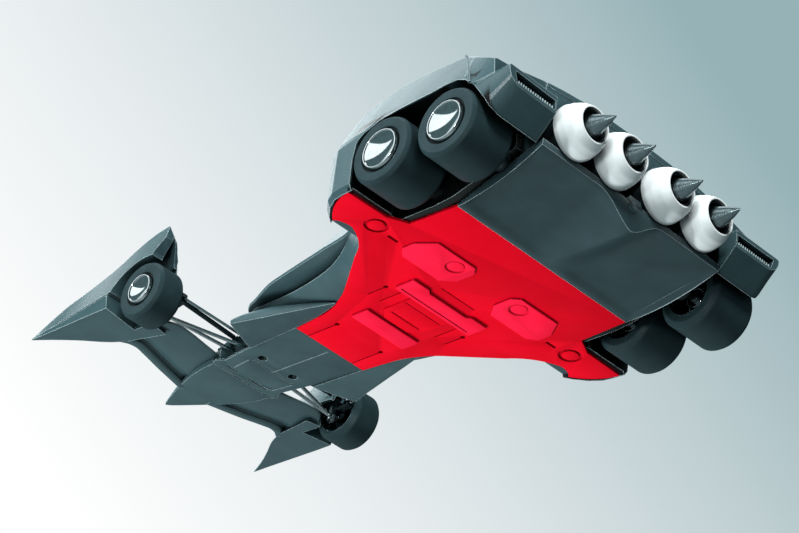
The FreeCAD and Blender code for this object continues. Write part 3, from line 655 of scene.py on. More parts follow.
def make_world():
    """A studio: pale backdrop behind the car, bright above and in front, dim below, one hard-edged panel."""
    world = bpy.data.worlds.new("studio")
    bpy.context.scene.world = world
    world.use_nodes = True
    net = Graph(world.node_tree)
    net.nodes.clear()
    direction = net.nodes.new("ShaderNodeTexCoord").outputs["Generated"]

    def towards(vector, low, high):
        return net.span(net.dot(direction, tuple(vector)), low, high, "SMOOTHSTEP")

    slope = net.dot(direction, tuple(0.83 * VIEW_RIGHT + 0.56 * VIEW_UP))
    ramp = net.nodes.new("ShaderNodeValToRGB")
    ramp.color_ramp.interpolation = "LINEAR"
    low, high = BACKDROP[0][0], BACKDROP[-1][0]
    stops = ramp.color_ramp.elements
    stops.new(0.5)
    for stop, (at, colour) in zip(stops, BACKDROP):
        stop.position = (at - low) / (high - low)
        stop.color = colour
    net.links.new(net.span(slope, low, high), ramp.inputs["Fac"])
    backdrop = ramp.outputs["Color"]

    room = net.mix(towards(FILL_FROM, -0.1, 0.9), (0.035, 0.055, 0.06, 1), (0.30, 0.36, 0.37, 1))
    room = net.mix(towards(MIRROR_SIDE, 0.62, 0.80), room, (0.09, 0.15, 0.16, 1))
    room = net.mix(towards(GLARE, 0.90, 0.975), room, (2.3, 2.5, 2.55, 1))
    room = net.mix(towards(OVERHEAD, 0.93, 0.985), room, (2.2, 2.3, 2.3, 1))
    # the hard-edged panel: the directions inside three planes through the car
    one, two, three = PANEL
    two, three = one + PANEL_REACH * (two - one), one + PANEL_REACH * (three - one)
    inside = None
    for a, b, c in ((one, two, three), (two, three, one), (three, one, two)):
        plane = a.cross(b).normalized()
        if plane.dot(c) < 0:
            plane = -plane
        edge = towards(plane, -0.004, 0.004)
        inside = edge if inside is None else net.times(inside, edge)
    panel = net.mix(inside, room, (1.5, 1.58, 1.6, 1))
    behind = towards(-VIEW_BACK, 0.965, 0.985)
    colour = net.mix(behind, panel, backdrop)
    shade = net.nodes.new("ShaderNodeBackground")
    net.links.new(colour, shade.inputs["Color"])
    out = net.nodes.new("ShaderNodeOutputWorld")
    net.links.new(shade.outputs["Background"], out.inputs["Surface"])


def make_floor():
    """A pale studio floor below the wheels, seen from above only and casting nothing."""
    data = bpy.data.meshes.new("studio_floor")
    half = 3.0
    data.from_pydata([(-half, -half, 0), (half, -half, 0), (half, half, 0), (-half, half, 0)], [],
                     [(0, 1, 2, 3)])
    finish = Finish("studio_floor", roughness=0.8, specular=0.1)
    finish.colour(finish.noise(6, 3.0), srgb(222, 228, 229), srgb(230, 235, 236))
    nodes, links = finish.nodes, finish.links
    clear = nodes.new("ShaderNodeBsdfTransparent")
    mix = nodes.new("ShaderNodeMixShader")
    links.new(nodes.new("ShaderNodeNewGeometry").outputs["Backfacing"], mix.inputs["Fac"])
    links.new(finish.shader.outputs["BSDF"], mix.inputs[1])
    links.new(clear.outputs["BSDF"], mix.inputs[2])
    links.new(mix.outputs["Shader"], nodes["Material Output"].inputs["Surface"])
    floor = new_object("studio_floor", data, finish.material)
    floor.location.z = -0.0002
    floor.visible_shadow = False
    floor.visible_diffuse = False
    floor.visible_glossy = False
    floor.visible_transmission = False


make_camera()
make_world()
make_floor()
add_light("front_top", (1.7, -0.1, 1.7), 1.0, 100, shiny=False)
add_light("left", (0.95, 2.1, 0.75), 0.35, 34, (0.95, 1.0, 1.0), shiny=False)
add_light("rear_left", (-1.5, 1.3, 1.3), 0.7, 66, (0.95, 1.0, 1.0), shiny=False)
add_light("low_left", (-1.0, 1.9, -0.6), 0.3, 12, (0.93, 1.0, 1.0))
add_light("front_low", (1.7, 0.5, -1.35), 0.5, 46, (0.93, 1.0, 1.0), shiny=False)
floor_light = add_light("floor_only", (0.5, 0.9, -1.5), 0.2, 13, (1.0, 0.97, 0.98), False)
FLOOR_PIECES = bpy.data.collections.new("floor_pieces")
floor_light.light_linking.receiver_collection = FLOOR_PIECES
bpy.context.scene.view_settings.view_transform = "Standard"


# ----------------------------------------------------------------------------------------- wheels and nozzles
def wheel(name, x, sign, face, wide, cap_r, body, radius=WHEEL_R):
    """A slick tyre with a narrow shoulder, and a rim with a raised ring round a polished dish."""
    centre = (x, 0, WHEEL_R)
    outer, inner = face * sign, (face - wide) * sign
    bead = cap_r + 0.7
    tyre = lathe([(BORE_R, inner), (BORE_R, outer - 1.3 * sign), (bead, outer - 1.3 * sign),
                  (bead, outer - 0.4 * sign, 0.2), (bead + 0.4, outer, 0.3),
                  (radius - 1.25, outer, 0.3), (radius - 0.95, outer - 0.22 * sign, 0.1),
                  (radius, outer - 1.5 * sign, 1.1), (radius, inner + 2.0 * sign, 1.6),
                  (radius - 2.0, inner, 1.2)], "Y", centre, 128)
    piece(f"tyre_{name}_skin", tyre, TYRE, body)
    hub_r = 4.0
    web = outer - 2.4 * sign
    lip, dish_r, depth = outer + 0.9 * sign, cap_r - 1.15, 1.05
    bowl = []
    steps = 10
    for k in range(steps + 1):
        radius = dish_r * (1 - k / steps)
        bowl.append((radius, lip - sign * (0.35 + depth * (1 - (radius / dish_r) ** 2))))
    rim = lathe([(2.1, web), (2.1, inner + 4 * sign, 0.2), (hub_r, inner + 4 * sign, 0.4), (hub_r, web, 0.6),
                 (BORE_R - 1.0, web, 0.6), (BORE_R - 1.0, inner + 0.6 * sign, 0.2),
                 (BORE_R, inner + 0.6 * sign, 0.2),
                 (BORE_R - 0.02, outer - 1.1 * sign), (cap_r + 0.1, outer - 1.1 * sign),
                 (cap_r, outer - 0.2 * sign, 0.15),
                 (cap_r - 0.35, lip, 0.3), (cap_r - 0.85, lip, 0.25)] + bowl + [(0.0, web)], "Y", centre, 128)
    piece(f"rim_{name}_skin", rim, CHROME, body)
    # A thin black ring between the cap and the tyre bead: a painted shadow of the raised rim.
    gap = lathe([(cap_r + 0.12, outer - 1.05 * sign), (cap_r + 0.12, outer - 0.75 * sign, 0.1),
                 (bead + 0.2, outer - 0.75 * sign, 0.1), (bead + 0.2, outer - 1.05 * sign)], "Y", centre, 96)
    piece(f"rim_shadow_ring_{name}", gap, GRILLE, body)


for axle, x in X_REAR.items():
    for side, sign in SIDES.items():
        wheel(f"rear_{axle}_{side}", x, sign, REAR_FACE, REAR_WIDE, REAR_CAP_R, f"rear_wheelset_{axle}")
for side, sign in SIDES.items():
    wheel(f"front_{side}", X_FRONT, sign, FRONT_FACE, FRONT_WIDE, FRONT_CAP_R, f"front_wheel_{side}", FRONT_R)


def nozzle(number, across):
    """A barrel-shaped white shell with a thin lip, round a dark turned spike."""
    centre = (0, across, NOZZLE_Z)
    fat = 10.8
    shell = lathe([(6.7, SHELL_ROOT), (fat - 0.3, SHELL_ROOT, 0.15), (fat, -121.0, 4), (fat - 0.5, -124.0, 5),
                   (0.86 * fat, -127.3, 6), (7.45, NOZZLE_MOUTH, 0.25), (6.75, NOZZLE_MOUTH, 0.25),
                   (6.62, NOZZLE_MOUTH + 1.6)], "X", centre, 112)
    piece(f"nozzle_shell_{number}_skin", shell, WHITE)
    neck = lathe([(6.7, NOZZLE_ROOT), (9.4, NOZZLE_ROOT, 0.3), (9.4, SHELL_ROOT - 0.4),
                  (6.7, SHELL_ROOT - 0.4)], "X",
                 centre, 72)
    piece(f"nozzle_neck_{number}", neck, NOZZLE_DARK)
    spike = lathe([(0.0, NOZZLE_ROOT), (3.6, NOZZLE_ROOT, 0.3), (3.6, -122.3, 0.5), (4.45, -124.3, 0.6),
                   (4.6, -128.6, 3.0), (3.5, -131.8, 6.0), (2.0, -136.0, 6.0), (0.25, SPIKE_TIP + 0.15, 0.1),
                   (0.0, SPIKE_TIP)], "X", centre, 96)
    piece(f"spike_cone_{number}_skin", spike, SPUN)


for number, across in enumerate(NOZZLE_Y, start=1):
    nozzle(number, across)

# ----------------------------------------------------------------------------------------- floor and fittings
def both_halves(half):
    """An outline from its left half, listed front to back."""
    return half + [(x, -y) for x, y in reversed(half)]


WAIST = (arc((17, 20.1), (7.2, 22.9), (-1, 27.4), 10) + arc((-21, 42.4), (-31.3, 51.3), (-35.2, 58.5), 12)
         + arc((-35.2, 58.5), (-34.8, 62.4), (-32.5, 66), 6)[1:])
FLOOR_HALF = [(33, 18.5)] + WAIST + arc((-32.5, 66), (-40, 72.6), (-49.9, 76), 10)[1:] + [
    (-50.3, 56.4), (-54.4, 48.2), (DIFFUSER_FRONT, 47.1)]
PAD = [(-38.0, 14.5, 1), (-38.0, 34.5, 1), (-41.5, 38.3, 1), (-47.5, 38.3, 1), (-55.3, 33.2, 1),
       (-55.3, 13.0, 1),
       (-52.2, 10.2, 1), (-43.5, 10.2, 1)]
RING_X, RING_Y = -43.4, 54.3


def groove(start, end, wide, depth, base=FLOOR):
    """A slot-shaped cutter in an underside at a height."""
    a, b = Vector(start).to_3d(), Vector(end).to_3d()
    side = (b - a).normalized().cross(Vector((0, 0, 1))) * wide / 2
    ring = [a + side, b + side, b - side, a - side]
    return slab([(p.x, p.y) for p in ring], base - 1.0, base + depth)


def make_floor_plate():
    plate = slab(both_halves(FLOOR_HALF), FLOOR, FLOOR + FLOOR_THICK)
    cutters = []
    for sign in (1, -1):
        washer = [(3.3, FLOOR - 1), (4.7, FLOOR - 1), (4.7, FLOOR + 0.75), (3.3, FLOOR + 0.75)]
        cutters.append(lathe(washer, "Z", (RING_X, RING_Y * sign, 0), 56))
        cutters.append(groove((-42.4, 46.8 * sign), (-42.4, 41.6 * sign), 1.3, 0.75))
        for front, back, y in ((34.0, 17.3, 12.2), (-7.8, -17.4, 21.5)):
            cutters.append(groove((front, y * sign), (back, y * sign), 0.5, 0.6))
            cutters.append(drum((back, y * sign, FLOOR - 1), (back, y * sign, FLOOR + 0.9), 1.0, 24))
        cutters.append(groove((-8.4, 15.4 * sign), (-19.6, 15.4 * sign), 0.45, 0.5))
    cutters.append(groove((-34.5, -9.0), (-34.5, 9.0), 0.5, 0.5))
    plate = carved(plate, cutters)
    piece("floor_plate_skin", plate, RED, bevel=0.22)


def make_floor_fittings():
    """Raised pads with round dimples, the two latch bars and the hatch between them."""
    for side, sign in SIDES.items():
        outline = [(x, y * sign) for x, y in softened(PAD)]
        pad = slab(outline, FLOOR - 0.8, FLOOR + 0.02)
        pad = carved(pad, [drum((-49.6, 17.8 * sign, FLOOR - 2), (-49.6, 17.8 * sign, FLOOR - 0.2), 4.0, 56)])
        dimple = drum((-49.6, 17.8 * sign, FLOOR - 0.2), (-49.6, 17.8 * sign, FLOOR - 0.55), 3.4, 48, 3.1)
        piece(f"floor_pad_{side}_skin", merged([pad, dimple]), RED_PAD,
              bevel=0.28)
    rear = softened([(-20.9, -20.6, 0.6), (-20.9, 20.0, 0.6), (-30.6, 20.0, 0.6), (-30.6, 11.5, 0.8),
                     (-29, 9.5, 0.8),
                     (-29, -10.5, 0.8), (-30.6, -12.5, 0.8), (-30.6, -20.6, 0.6)])
    bar = slab(rear, FLOOR - 1.1, FLOOR + 0.02)
    bar = carved(bar, [groove((-22.6, -18.4), (-22.6, 18.4), 0.5, 0.5, FLOOR - 1.1)])
    piece("latch_bar_rear_skin", bar, RED_PAD, bevel=0.3)
    front = softened([(7.6, -14.2, 0.5), (7.6, 14.2, 0.5), (-1.0, 14.2, 0.5), (-1.0, -14.2, 0.5)])
    piece("latch_bar_front_skin", slab(front, FLOOR - 1.1, FLOOR + 0.02), RED_PAD, bevel=0.3)
    hatch = softened([(-20.5, -10.6, 0.4), (-20.5, 10.6, 0.4), (-6.2, 10.6, 0.5), (-2.0, 6.4, 0.5),
                      (-2.0, -6.4, 0.5),
                      (-6.2, -10.6, 0.5)])
    hatch = slab(hatch, FLOOR - 0.4, FLOOR + 0.02)
    hatch = carved(hatch, [groove((-7.4, -7.6), (-7.4, 7.6), 0.6, 0.3, FLOOR - 0.4),
                           groove((-16.5, -10), (-16.5, 10), 0.35, 0.3, FLOOR - 0.4)])
    piece("centre_hatch_skin", hatch, RED, bevel=0.2)


make_floor_plate()
make_floor_fittings()


# ---------------------------------------------------------------------------------------------- nose and wing
def nose_low(x):
    """Underside height of the nose, which climbs slightly towards the tip."""
    return FLOOR + 0.6 + 0.022 * (x - 33)


NOSE_HALF = [(33.1, 18.4), (47.0, 17.9), (60.0, 17.3), (68.0, 16.2), (76.5, 15.2), (79.6, 17.6), (82.2, 16.4)]


def make_nose_floor():
    rows = [[(x, y, nose_low(x)), (x, -y, nose_low(x)), (x, -y, nose_low(x) + 0.95),
             (x, y, nose_low(x) + 0.95)]
            for x, y in NOSE_HALF]
    plate = loft(rows)

    def cut(start, end, wide, depth):
        height = nose_low((start[0] + end[0]) / 2)
        return groove(start, end, wide, depth, height)
    cutters = [cut((79.0, 11.9), (79.0, 5.6), 0.7, 0.6), cut((79.0, -0.3), (79.0, -10.6), 0.7, 0.6),
               cut((66.5, 10.7), (66.5, -12.8), 0.45, 0.45), cut((82.3, 15.9), (82.3, -16.2), 0.6, 0.6)]
    cutters += [drum((62.2, 8.4 * sign, 0), (62.2, 8.4 * sign, 9), 1.9, 36) for sign in (1, -1)]
    plate = carved(plate, cutters)
    piece("nose_floor_skin", plate, SLATE_UNDER, bevel=0.16)


def make_nose_trim():
    """Raised lines on the nose plate: the centre bead and the rails of the small hatch."""
    def bead(name, path, wide, high):
        shapes = []
        for (x1, y1), (x2, y2) in zip(path, path[1:]):
            run = Vector((x2 - x1, y2 - y1, 0)).normalized()
            side = run.cross(Vector((0, 0, 1))) * wide / 2
            ring = []
            for x, y in ((x1 - run.x * 0.1, y1 - run.y * 0.1), (x2 + run.x * 0.1, y2 + run.y * 0.1)):
                low = nose_low(x)
                ring.append([(x + side.x, y + side.y, low + 0.1),
                             (x + side.x * 0.4, y + side.y * 0.4, low - high),
                             (x - side.x * 0.4, y - side.y * 0.4, low - high),
                             (x - side.x, y - side.y, low + 0.1)])
            shapes.append(loft(ring))
        piece(name, merged(shapes), SLATE)
    bead("nose_centre_bead", [(66.2, -1.4), (35.2, -1.4)], 0.55, 0.3)
    bead("nose_hatch_rail_left", [(76.9, 9.5), (67.6, 10.7)], 0.55, 0.3)
    bead("nose_hatch_rail_right", [(66.6, -12.8), (76.5, -11.7), (78.2, -6.9)], 0.5, 0.3)


def make_nose_tip():
    """The shield-shaped arrowhead: convex sides in plan, a soft keel, closing to a blunt point."""
    stations = [(82.6, 16.4, 5.1, 18.0), (88.0, 15.9, 5.35, 17.1), (94.0, 14.7, 5.7, 16.0),
                (100.0, 12.9, 6.1, 14.8),
                (106.0, 10.7, 6.6, 13.4), (112.0, 8.1, 7.1, 12.0), (118.0, 5.3, 7.5, 10.7),
                (123.0, 2.9, 7.85, 9.7),
                (126.2, 1.2, 8.1, 9.1), (127.5, 0.3, 8.3, 8.8)]
    rows = []
    for x, half, low, high in stations:
        mid = low + 0.4 * (high - low)
        left = [(0.45 * half, low + 0.02 * (high - low)), (0.96 * half, low + 0.12),
                (half, low + 0.16 * (high - low)),
                (0.97 * half, mid), (0.55 * half, high - 0.1 * (high - low))]
        rows.append(section(x, low, left, high))
    tip = loft(rows, 3)
    piece("nose_tip_skin", tip, SLATE_UNDER, bevel=0.3, angle=24)


def wing_row(y, lead, trail, z):
    """One span station of the wing: rolled leading lip, concave cove, flat panel, thin trailing edge."""
    lip = [(lead - 4.7, z + 0.9), (lead - 4.5, z + 0.1), (lead - 3.6, z - 0.45), (lead - 1.6, z - 0.5),
           (lead - 0.5, z - 0.1), (lead, z + 0.7), (lead - 0.5, z + 1.7), (lead - 2.5, z + 2.4)]
    cove = [(trail + 0.9, z + 0.1), (lead - 10.4, z + 0.1), (lead - 9.4, z + 0.3), (lead - 8.2, z + 1.0),
            (lead - 6.8, z + 1.5), (lead - 5.4, z + 1.4)]
    tail = [(lead - 8.0, z + 2.9), (trail + 0.5, z + 1.5), (trail, z + 0.9), (trail + 0.2, z + 0.4)]
    return [(x, y, height) for x, height in cove + lip + tail]


def make_wing():
    shapes = []
    for side, sign in SIDES.items():
        rows = [wing_row(sign * y, lead, trail, z) for y, lead, trail, z in
                ((7.0, 112.0, 83.0, 7.3), (14.0, 110.4, 80.6, 7.45), (24.0, 108.2, 79.2, 7.8),
                 (33.0, 106.2, 78.4, 8.4), (38.0, 105.5, 78.6, 8.8), (41.0, 106.3, 79.6, 9.0),
                 (44.2, 108.6, 82.5, 9.1))]
        shapes.append(loft(rows, 4))
    piece("front_wing_skin", merged(shapes), SLATE, bevel=0.18, angle=36)


make_nose_floor()
make_nose_trim()
make_nose_tip()
make_wing()


# ------------------------------------------------------------------------------------------------------- pods
# Each station of the left pod: x, inner bottom, outer bottom, groove line, ridge and inner shoulder as (y, z).
POD_STATIONS = [
    (139.9, (62.5, 10.8), (62.9, 10.8), (62.95, 11.0), (62.8, 11.2), (62.5, 11.1)),
    (131.0, (58.0, 10.3), (62.9, 10.7), (63.3, 12.0), (62.4, 16.0), (59.8, 14.4)),
    (122.7, (53.0, 9.9), (63.0, 10.6), (63.6, 12.9), (62.0, 20.1), (56.8, 17.4)),
    (111.2, (45.6, 9.1), (63.2, 10.5), (64.0, 14.3), (61.0, 24.7), (50.6, 20.6)),
    (104.0, (42.9, 8.6), (63.3, 10.4), (64.3, 15.1), (60.4, 27.8), (47.6, 22.6)),
    (97.0, (41.7, 8.1), (63.3, 10.4), (64.5, 15.9), (59.8, 31.2), (46.2, 25.6)),
    (89.1, (40.2, 7.5), (63.3, 10.4), (64.4, 16.3), (59.1, 36.1), (46.2, 28.8)),
    (80.7, (38.8, 7.2), (63.1, 10.4), (64.1, 16.6), (58.5, 40.4), (47.2, 31.2)),
    (69.9, (40.0, 7.8), (62.7, 10.4), (63.6, 16.8), (58.0, 43.2), (49.8, 32.8)),
    (64.0, (40.8, 8.2), (62.4, 10.4), (63.2, 16.9), (57.7, 44.0), (51.0, 33.4)),
]
GROOVE_START, GROOVE_FULL = 127.0, 122.0
# The hollow behind the front wheel: x, and the pod's inner bottom, inner shoulder and ridge there as (y, z).
POD_HOLLOW = [
    (86.0, (39.7, 7.4), (46.6, 29.9), (58.9, 37.8)),
    (80.7, (38.8, 7.2), (47.2, 31.2), (58.5, 40.4)),
    (69.9, (40.0, 7.8), (49.8, 32.8), (58.0, 43.2)),
    (50.0, (41.0, 8.4), (51.5, 34.0), (57.5, 45.0)),
]
HOLLOW_LOW, HOLLOW_OUT, POD_WALL = 15.5, 55.6, 1.3


def pod_mesh():
    rows = []
    for x, low_in, low_out, line, ridge, shoulder in POD_STATIONS:
        deep = 0.5 * min(max((GROOVE_START - x) / (GROOVE_START - GROOVE_FULL), 0.02), 1)
        rows.append([(x, *low_in), (x, *low_out), (x, line[0], line[1] - 1.2 * deep),
                     (x, line[0] - deep, line[1] - 0.7 * deep), (x, *line), (x, *ridge), (x, *shoulder)])
    hull = loft(rows, 5)
    arch = [(X_FRONT + 15.6 * math.cos(t), WHEEL_R + 15.6 * math.sin(t))
            for t in (math.radians(10 + 80 * k / 16) for k in range(17))]
    wheel_side = [(48, -5), (96.6, -5), (95.4, 10.0), (94.6, 16.4)] + arch + [(48, 29.2)]
    arm_side = [(48, -5), (85.5, -5), (85.5, 15.6), (48, 15.6)]
    tail = [(48, 60), (48, 15.0), (75.4, 15.0), (75.9, 21.0), (76.4, 26.0), (75.0, 31.0), (70.8, 37.0),
            (71.4, 46), (73, 60)]
    hollow = []
    for x, low, shoulder, ridge in POD_HOLLOW:
        part = (HOLLOW_LOW - low[1]) / (shoulder[1] - low[1])
        foot = low[0] + part * (shoulder[0] - low[0]) + POD_WALL
        hollow.append([(x, foot, HOLLOW_LOW), (x, shoulder[0] + POD_WALL, shoulder[1] - 0.8),
                       (x, HOLLOW_OUT, ridge[1] - 4.0), (x, HOLLOW_OUT, HOLLOW_LOW)])
    cutters = [push([(x, 47.4, z) for x, z in wheel_side], (0, 40, 0)),
               push([(x, 30.0, z) for x, z in arm_side], (0, 17.6, 0)),
               push([(x, 30.2, z) for x, z in tail], (0, 61, 0)), loft(hollow)]
    return largest(carved(hull, cutters))


both("pod", pod_mesh(), SLATE, bevel=0.3, angle=24, sharp=18)


# ------------------------------------------------------------------------------------------- strakes and body
def strake_mesh():
    """A flat plate beside the nose whose outer edge is a bright chamfer under a rounded fairing."""
    low = FLOOR + 0.35
    # outer and inner edge as (x, y), chamfer height and fairing rise
    stations = [((53.4, 34.7), (59.7, 17.6), 1.1, 1.5), ((53.0, 34.9), (59.3, 17.6), 1.5, 2.9),
                ((51.8, 34.7), (58.0, 17.6), 1.7, 4.4), ((49.5, 34.1), (55.4, 17.7), 1.8, 5.6),
                ((45.0, 32.9), (50.0, 17.9), 1.8, 6.5), ((37.0, 30.9), (41.0, 18.3), 1.7, 6.7),
                ((28.0, 28.6), (31.0, 18.9), 1.4, 5.4), ((19.0, 26.4), (20.5, 20.0), 1.0, 3.6),
                ((12.0, 24.6), (12.5, 21.6), 0.6, 1.8), ((7.6, 23.5), (7.8, 22.9), 0.2, 0.5)]
    rows = []
    for (xo, yo), (xi, yi), chamfer, rise in stations:
        def at(part, z):
            return (xo + (xi - xo) * part, yo + (yi - yo) * part, z)
        top = low + rise
        row = [at(1, low), at(0, low), at(-0.01, low + 0.35 * chamfer), at(-0.01, low + chamfer)]
        for step in range(1, 6):
            angle = math.pi / 2 * step / 5
            row.append(at(0.42 * (1 - math.cos(angle)), low + chamfer + (rise - chamfer) * math.sin(angle)))
        row.append(at(1, top - 0.1 * rise))
        rows.append(row)
    return loft(rows, 4)


# Each body station: x, base y, then soft crease, crease, recess root, lip and shoulder as (y, z), then crown height.
BODY_STATIONS = [
    (82.0, 14.6, (15.0, 6.8), (15.4, 8.0), (15.4, 10.0), (15.4, 12.0), (9.0, 16.8), 18.0),
    (70.0, 15.8, (16.2, 6.8), (16.5, 8.2), (16.5, 10.4), (16.5, 12.4), (10.0, 18.2), 19.6),
    (60.0, 16.6, (17.2, 7.2), (17.6, 8.8), (17.5, 11.0), (17.8, 13.0), (11.0, 19.6), 21.4),
    (52.0, 17.2, (21.0, 9.4), (26.2, 13.6), (25.4, 13.9), (28.4, 14.2), (13.0, 21.6), 23.6),
    (45.0, 17.8, (23.0, 9.0), (27.2, 13.4), (25.4, 14.1), (31.2, 14.7), (14.2, 22.8), 25.2),
    (34.0, 18.8, (24.0, 8.4), (28.2, 12.6), (25.8, 14.2), (35.2, 15.3), (16.0, 24.4), 27.2),
    (24.0, 19.4, (25.2, 7.8), (30.0, 11.4), (27.0, 14.0), (37.2, 15.4), (18.0, 26.4), 29.4),
    (14.0, 21.0, (27.0, 7.4), (32.0, 10.8), (28.6, 13.8), (39.2, 15.2), (20.6, 28.4), 31.4),
    (4.5, 24.4, (29.8, 7.0), (34.4, 10.3), (30.6, 13.4), (41.0, 15.0), (22.8, 30.4), 33.0),
    (-3.0, 28.8, (33.0, 6.8), (36.8, 10.2), (33.2, 13.2), (42.6, 14.7), (24.8, 31.8), 34.4),
    (-8.0, 32.5, (35.6, 7.0), (38.8, 10.8), (36.0, 13.2), (43.2, 14.8), (26.4, 32.6), 35.2),
    (-13.0, 36.2, (38.6, 7.4), (41.2, 11.8), (39.4, 13.5), (43.8, 15.0), (28.0, 33.4), 36.0),
    (-17.0, 39.2, (41.4, 7.6), (43.4, 12.6), (43.0, 14.2), (44.4, 15.6), (29.8, 34.0), 36.5),
    (-24.0, 44.6, (45.6, 7.8), (46.6, 12.2), (46.5, 14.4), (46.8, 17.4), (33.0, 35.0), 37.2),
    (-34.0, 50.4, (50.8, 8.0), (51.0, 12.0), (51.0, 15.4), (51.0, 21.0), (40.0, 35.4), 38.0),
    (-52.0, 50.9, (50.9, 8.0), (50.9, 12.0), (50.9, 18.0), (50.9, 33.0), (49.0, 36.4), 38.6),
    (-78.0, 50.9, (50.9, 9.0), (50.9, 13.0), (50.9, 18.0), (50.9, 34.4), (49.6, 36.6), 39.4),
    (-107.0, 50.9, (50.9, 17.0), (50.9, 18.0), (50.9, 22.0), (50.9, 36.4), (50.3, 36.8), 40.0),
]


def body_low(x):
    """Underside of the body: over the nose plate, on the floor plate and above the diffuser's ramp."""
    if x > 33:
        return nose_low(x) + 0.9
    if x < DIFFUSER_FRONT:
        return 5.0 + (DIFFUSER_FRONT - x) * 0.36
    return FLOOR + FLOOR_THICK


def make_body():
    rows = []
    for x, base, soft, crease, root, lip, shoulder, crown in BODY_STATIONS:
        cove = ((root[0] + lip[0]) / 2, root[1] + 0.62 * (lip[1] - 0.9 - root[1]))
        left = [(base, body_low(x)), soft, crease, root, cove, (lip[0] - 0.3, lip[1] - 0.9), lip,
                (0.62 * lip[0] + 0.38 * shoulder[0], 0.5 * lip[1] + 0.56 * shoulder[1]), shoulder]
        rows.append(section(x, body_low(x), left, crown))
    shell = loft(rows, 3)
    cutters = [block((61.0, -24.0, -2), (79.5, -9.7, 16.0)), block((61.0, 9.7, -2), (79.5, 24.0, 16.0))]
    cutters += [drum((62.2, 8.4 * sign, 0), (62.2, 8.4 * sign, 12), 1.9, 36) for sign in (1, -1)]
    for x in X_REAR.values():
        cutters.append(drum((x, -55, WHEEL_R), (x, 55, WHEEL_R), 4.5, 48))
    shell = largest(carved(shell, cutters))
    piece("body_shell_skin", shell, SLATE, bevel=0.22, angle=30)


both("strake", strake_mesh(), SLATE_UNDER, bevel=0.22, angle=26)
make_body()

# ------------------------------------------------------------------------------------------- fenders and rear
# Each fender station: x, lower outer y, knee, crease and ridge as (y, z), and the height at the body.
FENDER_STATIONS = [
    (-30.6, 66.7, (67.2, 14.0), (67.4, 20.0), (66.8, 25.5), 24.0),
    (-33.0, 69.9, (70.3, 19.0), (70.1, 24.0), (68.4, 30.8), 27.6),
    (-37.5, 74.1, (74.4, 23.6), (74.0, 25.4), (69.6, 35.6), 31.6),
    (-42.2, 76.8, (76.8, 24.0), (76.2, 26.0), (69.8, 39.6), 33.6),
    (-46.2, 77.5, (77.6, 24.2), (77.0, 26.4), (69.6, 42.8), 35.0),
    (-53.0, 78.1, (78.3, 24.6), (77.9, 26.4), (68.8, 46.4), 36.4),
    (-57.0, 78.3, (78.5, 25.0), (78.4, 26.2), (69.0, 47.4), 37.0),
    (-65.0, 78.4, (78.5, 27.5), (75.9, 33.4), (69.6, 48.2), 37.4),
    (-73.0, 78.4, (78.5, 28.5), (73.3, 40.8), (70.0, 48.4), 37.9),
    (-80.5, 78.4, (78.5, 29.0), (70.9, 47.4), (70.0, 48.4), 38.4),
    (-97.0, 78.4, (78.5, 29.5), (71.8, 46.2), (71.0, 47.1), 39.2),
    (-104.0, 78.4, (78.4, 28.0), (73.7, 42.6), (72.9, 43.5), 39.6),
]


def fender_rows(part_rows):
    rows = []
    for x, low_y, knee, crease, ridge, inner_z in part_rows:
        inner = BODY_Y - 0.05
        rows.append([(x, inner, FLOOR + FLOOR_THICK), (x, low_y - 2.2, FLOOR + FLOOR_THICK),
                     (x, low_y - 1.8, FLOOR - 0.1),
                     (x, low_y - 1.5, FLOOR - 0.1), (x, low_y, FLOOR + 2.2), (x, *knee), (x, *crease),
                     (x, *ridge),
                     (x, ridge[0] - 4.0, ridge[1] - 0.2), (x, ridge[0] - 10.0, ridge[1] - 2.6),
                     (x, inner, inner_z)])
    return rows


WELL = [(-52.0, -3), (-52.1, 15.9), (-53.2, 22.6), (-57.7, 25.9), (-63.5, 28.7), (-79.6, 30.2), (-88.4, 30.8),
        (-96.0, 31.8), (-101.2, 31.7), (-105.3, 29.7), (-110.6, 25.1), (-114.9, 18.8), (-117.0, 14.0),
        (-118.0, -3)]


def well_cutter(inner_y):
    """The opening over both rear wheels as one prism."""
    outline = softened([(x, z, 2.0) for x, z in WELL], per_arc=4)
    return push([(x, inner_y, z) for x, z in outline], (0, 90 - inner_y, 0))


def make_fenders():
    hull = loft(fender_rows(FENDER_STATIONS))
    cutters = [well_cutter(BODY_Y + 3.2)]
    tyre_gap = push([(x, BODY_Y - 2, z) for x, z in ((-51.5, -3), (-51.5, 30.0), (-120, 30.6), (-120, -3))],
                    (0, 6.4, 0))
    cutters.append(tyre_gap)
    hull = carved(hull, cutters)
    both("fender", largest(hull), SLATE, bevel=0.3, angle=22, sharp=6)
    for side, sign in SIDES.items():
        # a raised bead along the joint between the fender and the tail
        path = [(-108.2, 78.3, 27.2), (-106.0, 76.9, 32.0), (-103.4, 74.8, 37.8), (-100.6, 73.0, 43.0),
                (-97.6, 71.6, 46.9)]
        shapes = [drum((x1, sign * y1, z1), (x2, sign * y2, z2), 0.62, 16)
                  for (x1, y1, z1), (x2, y2, z2) in zip(path, path[1:])]
        piece(f"fender_bead_{side}", merged(shapes), SLATE)


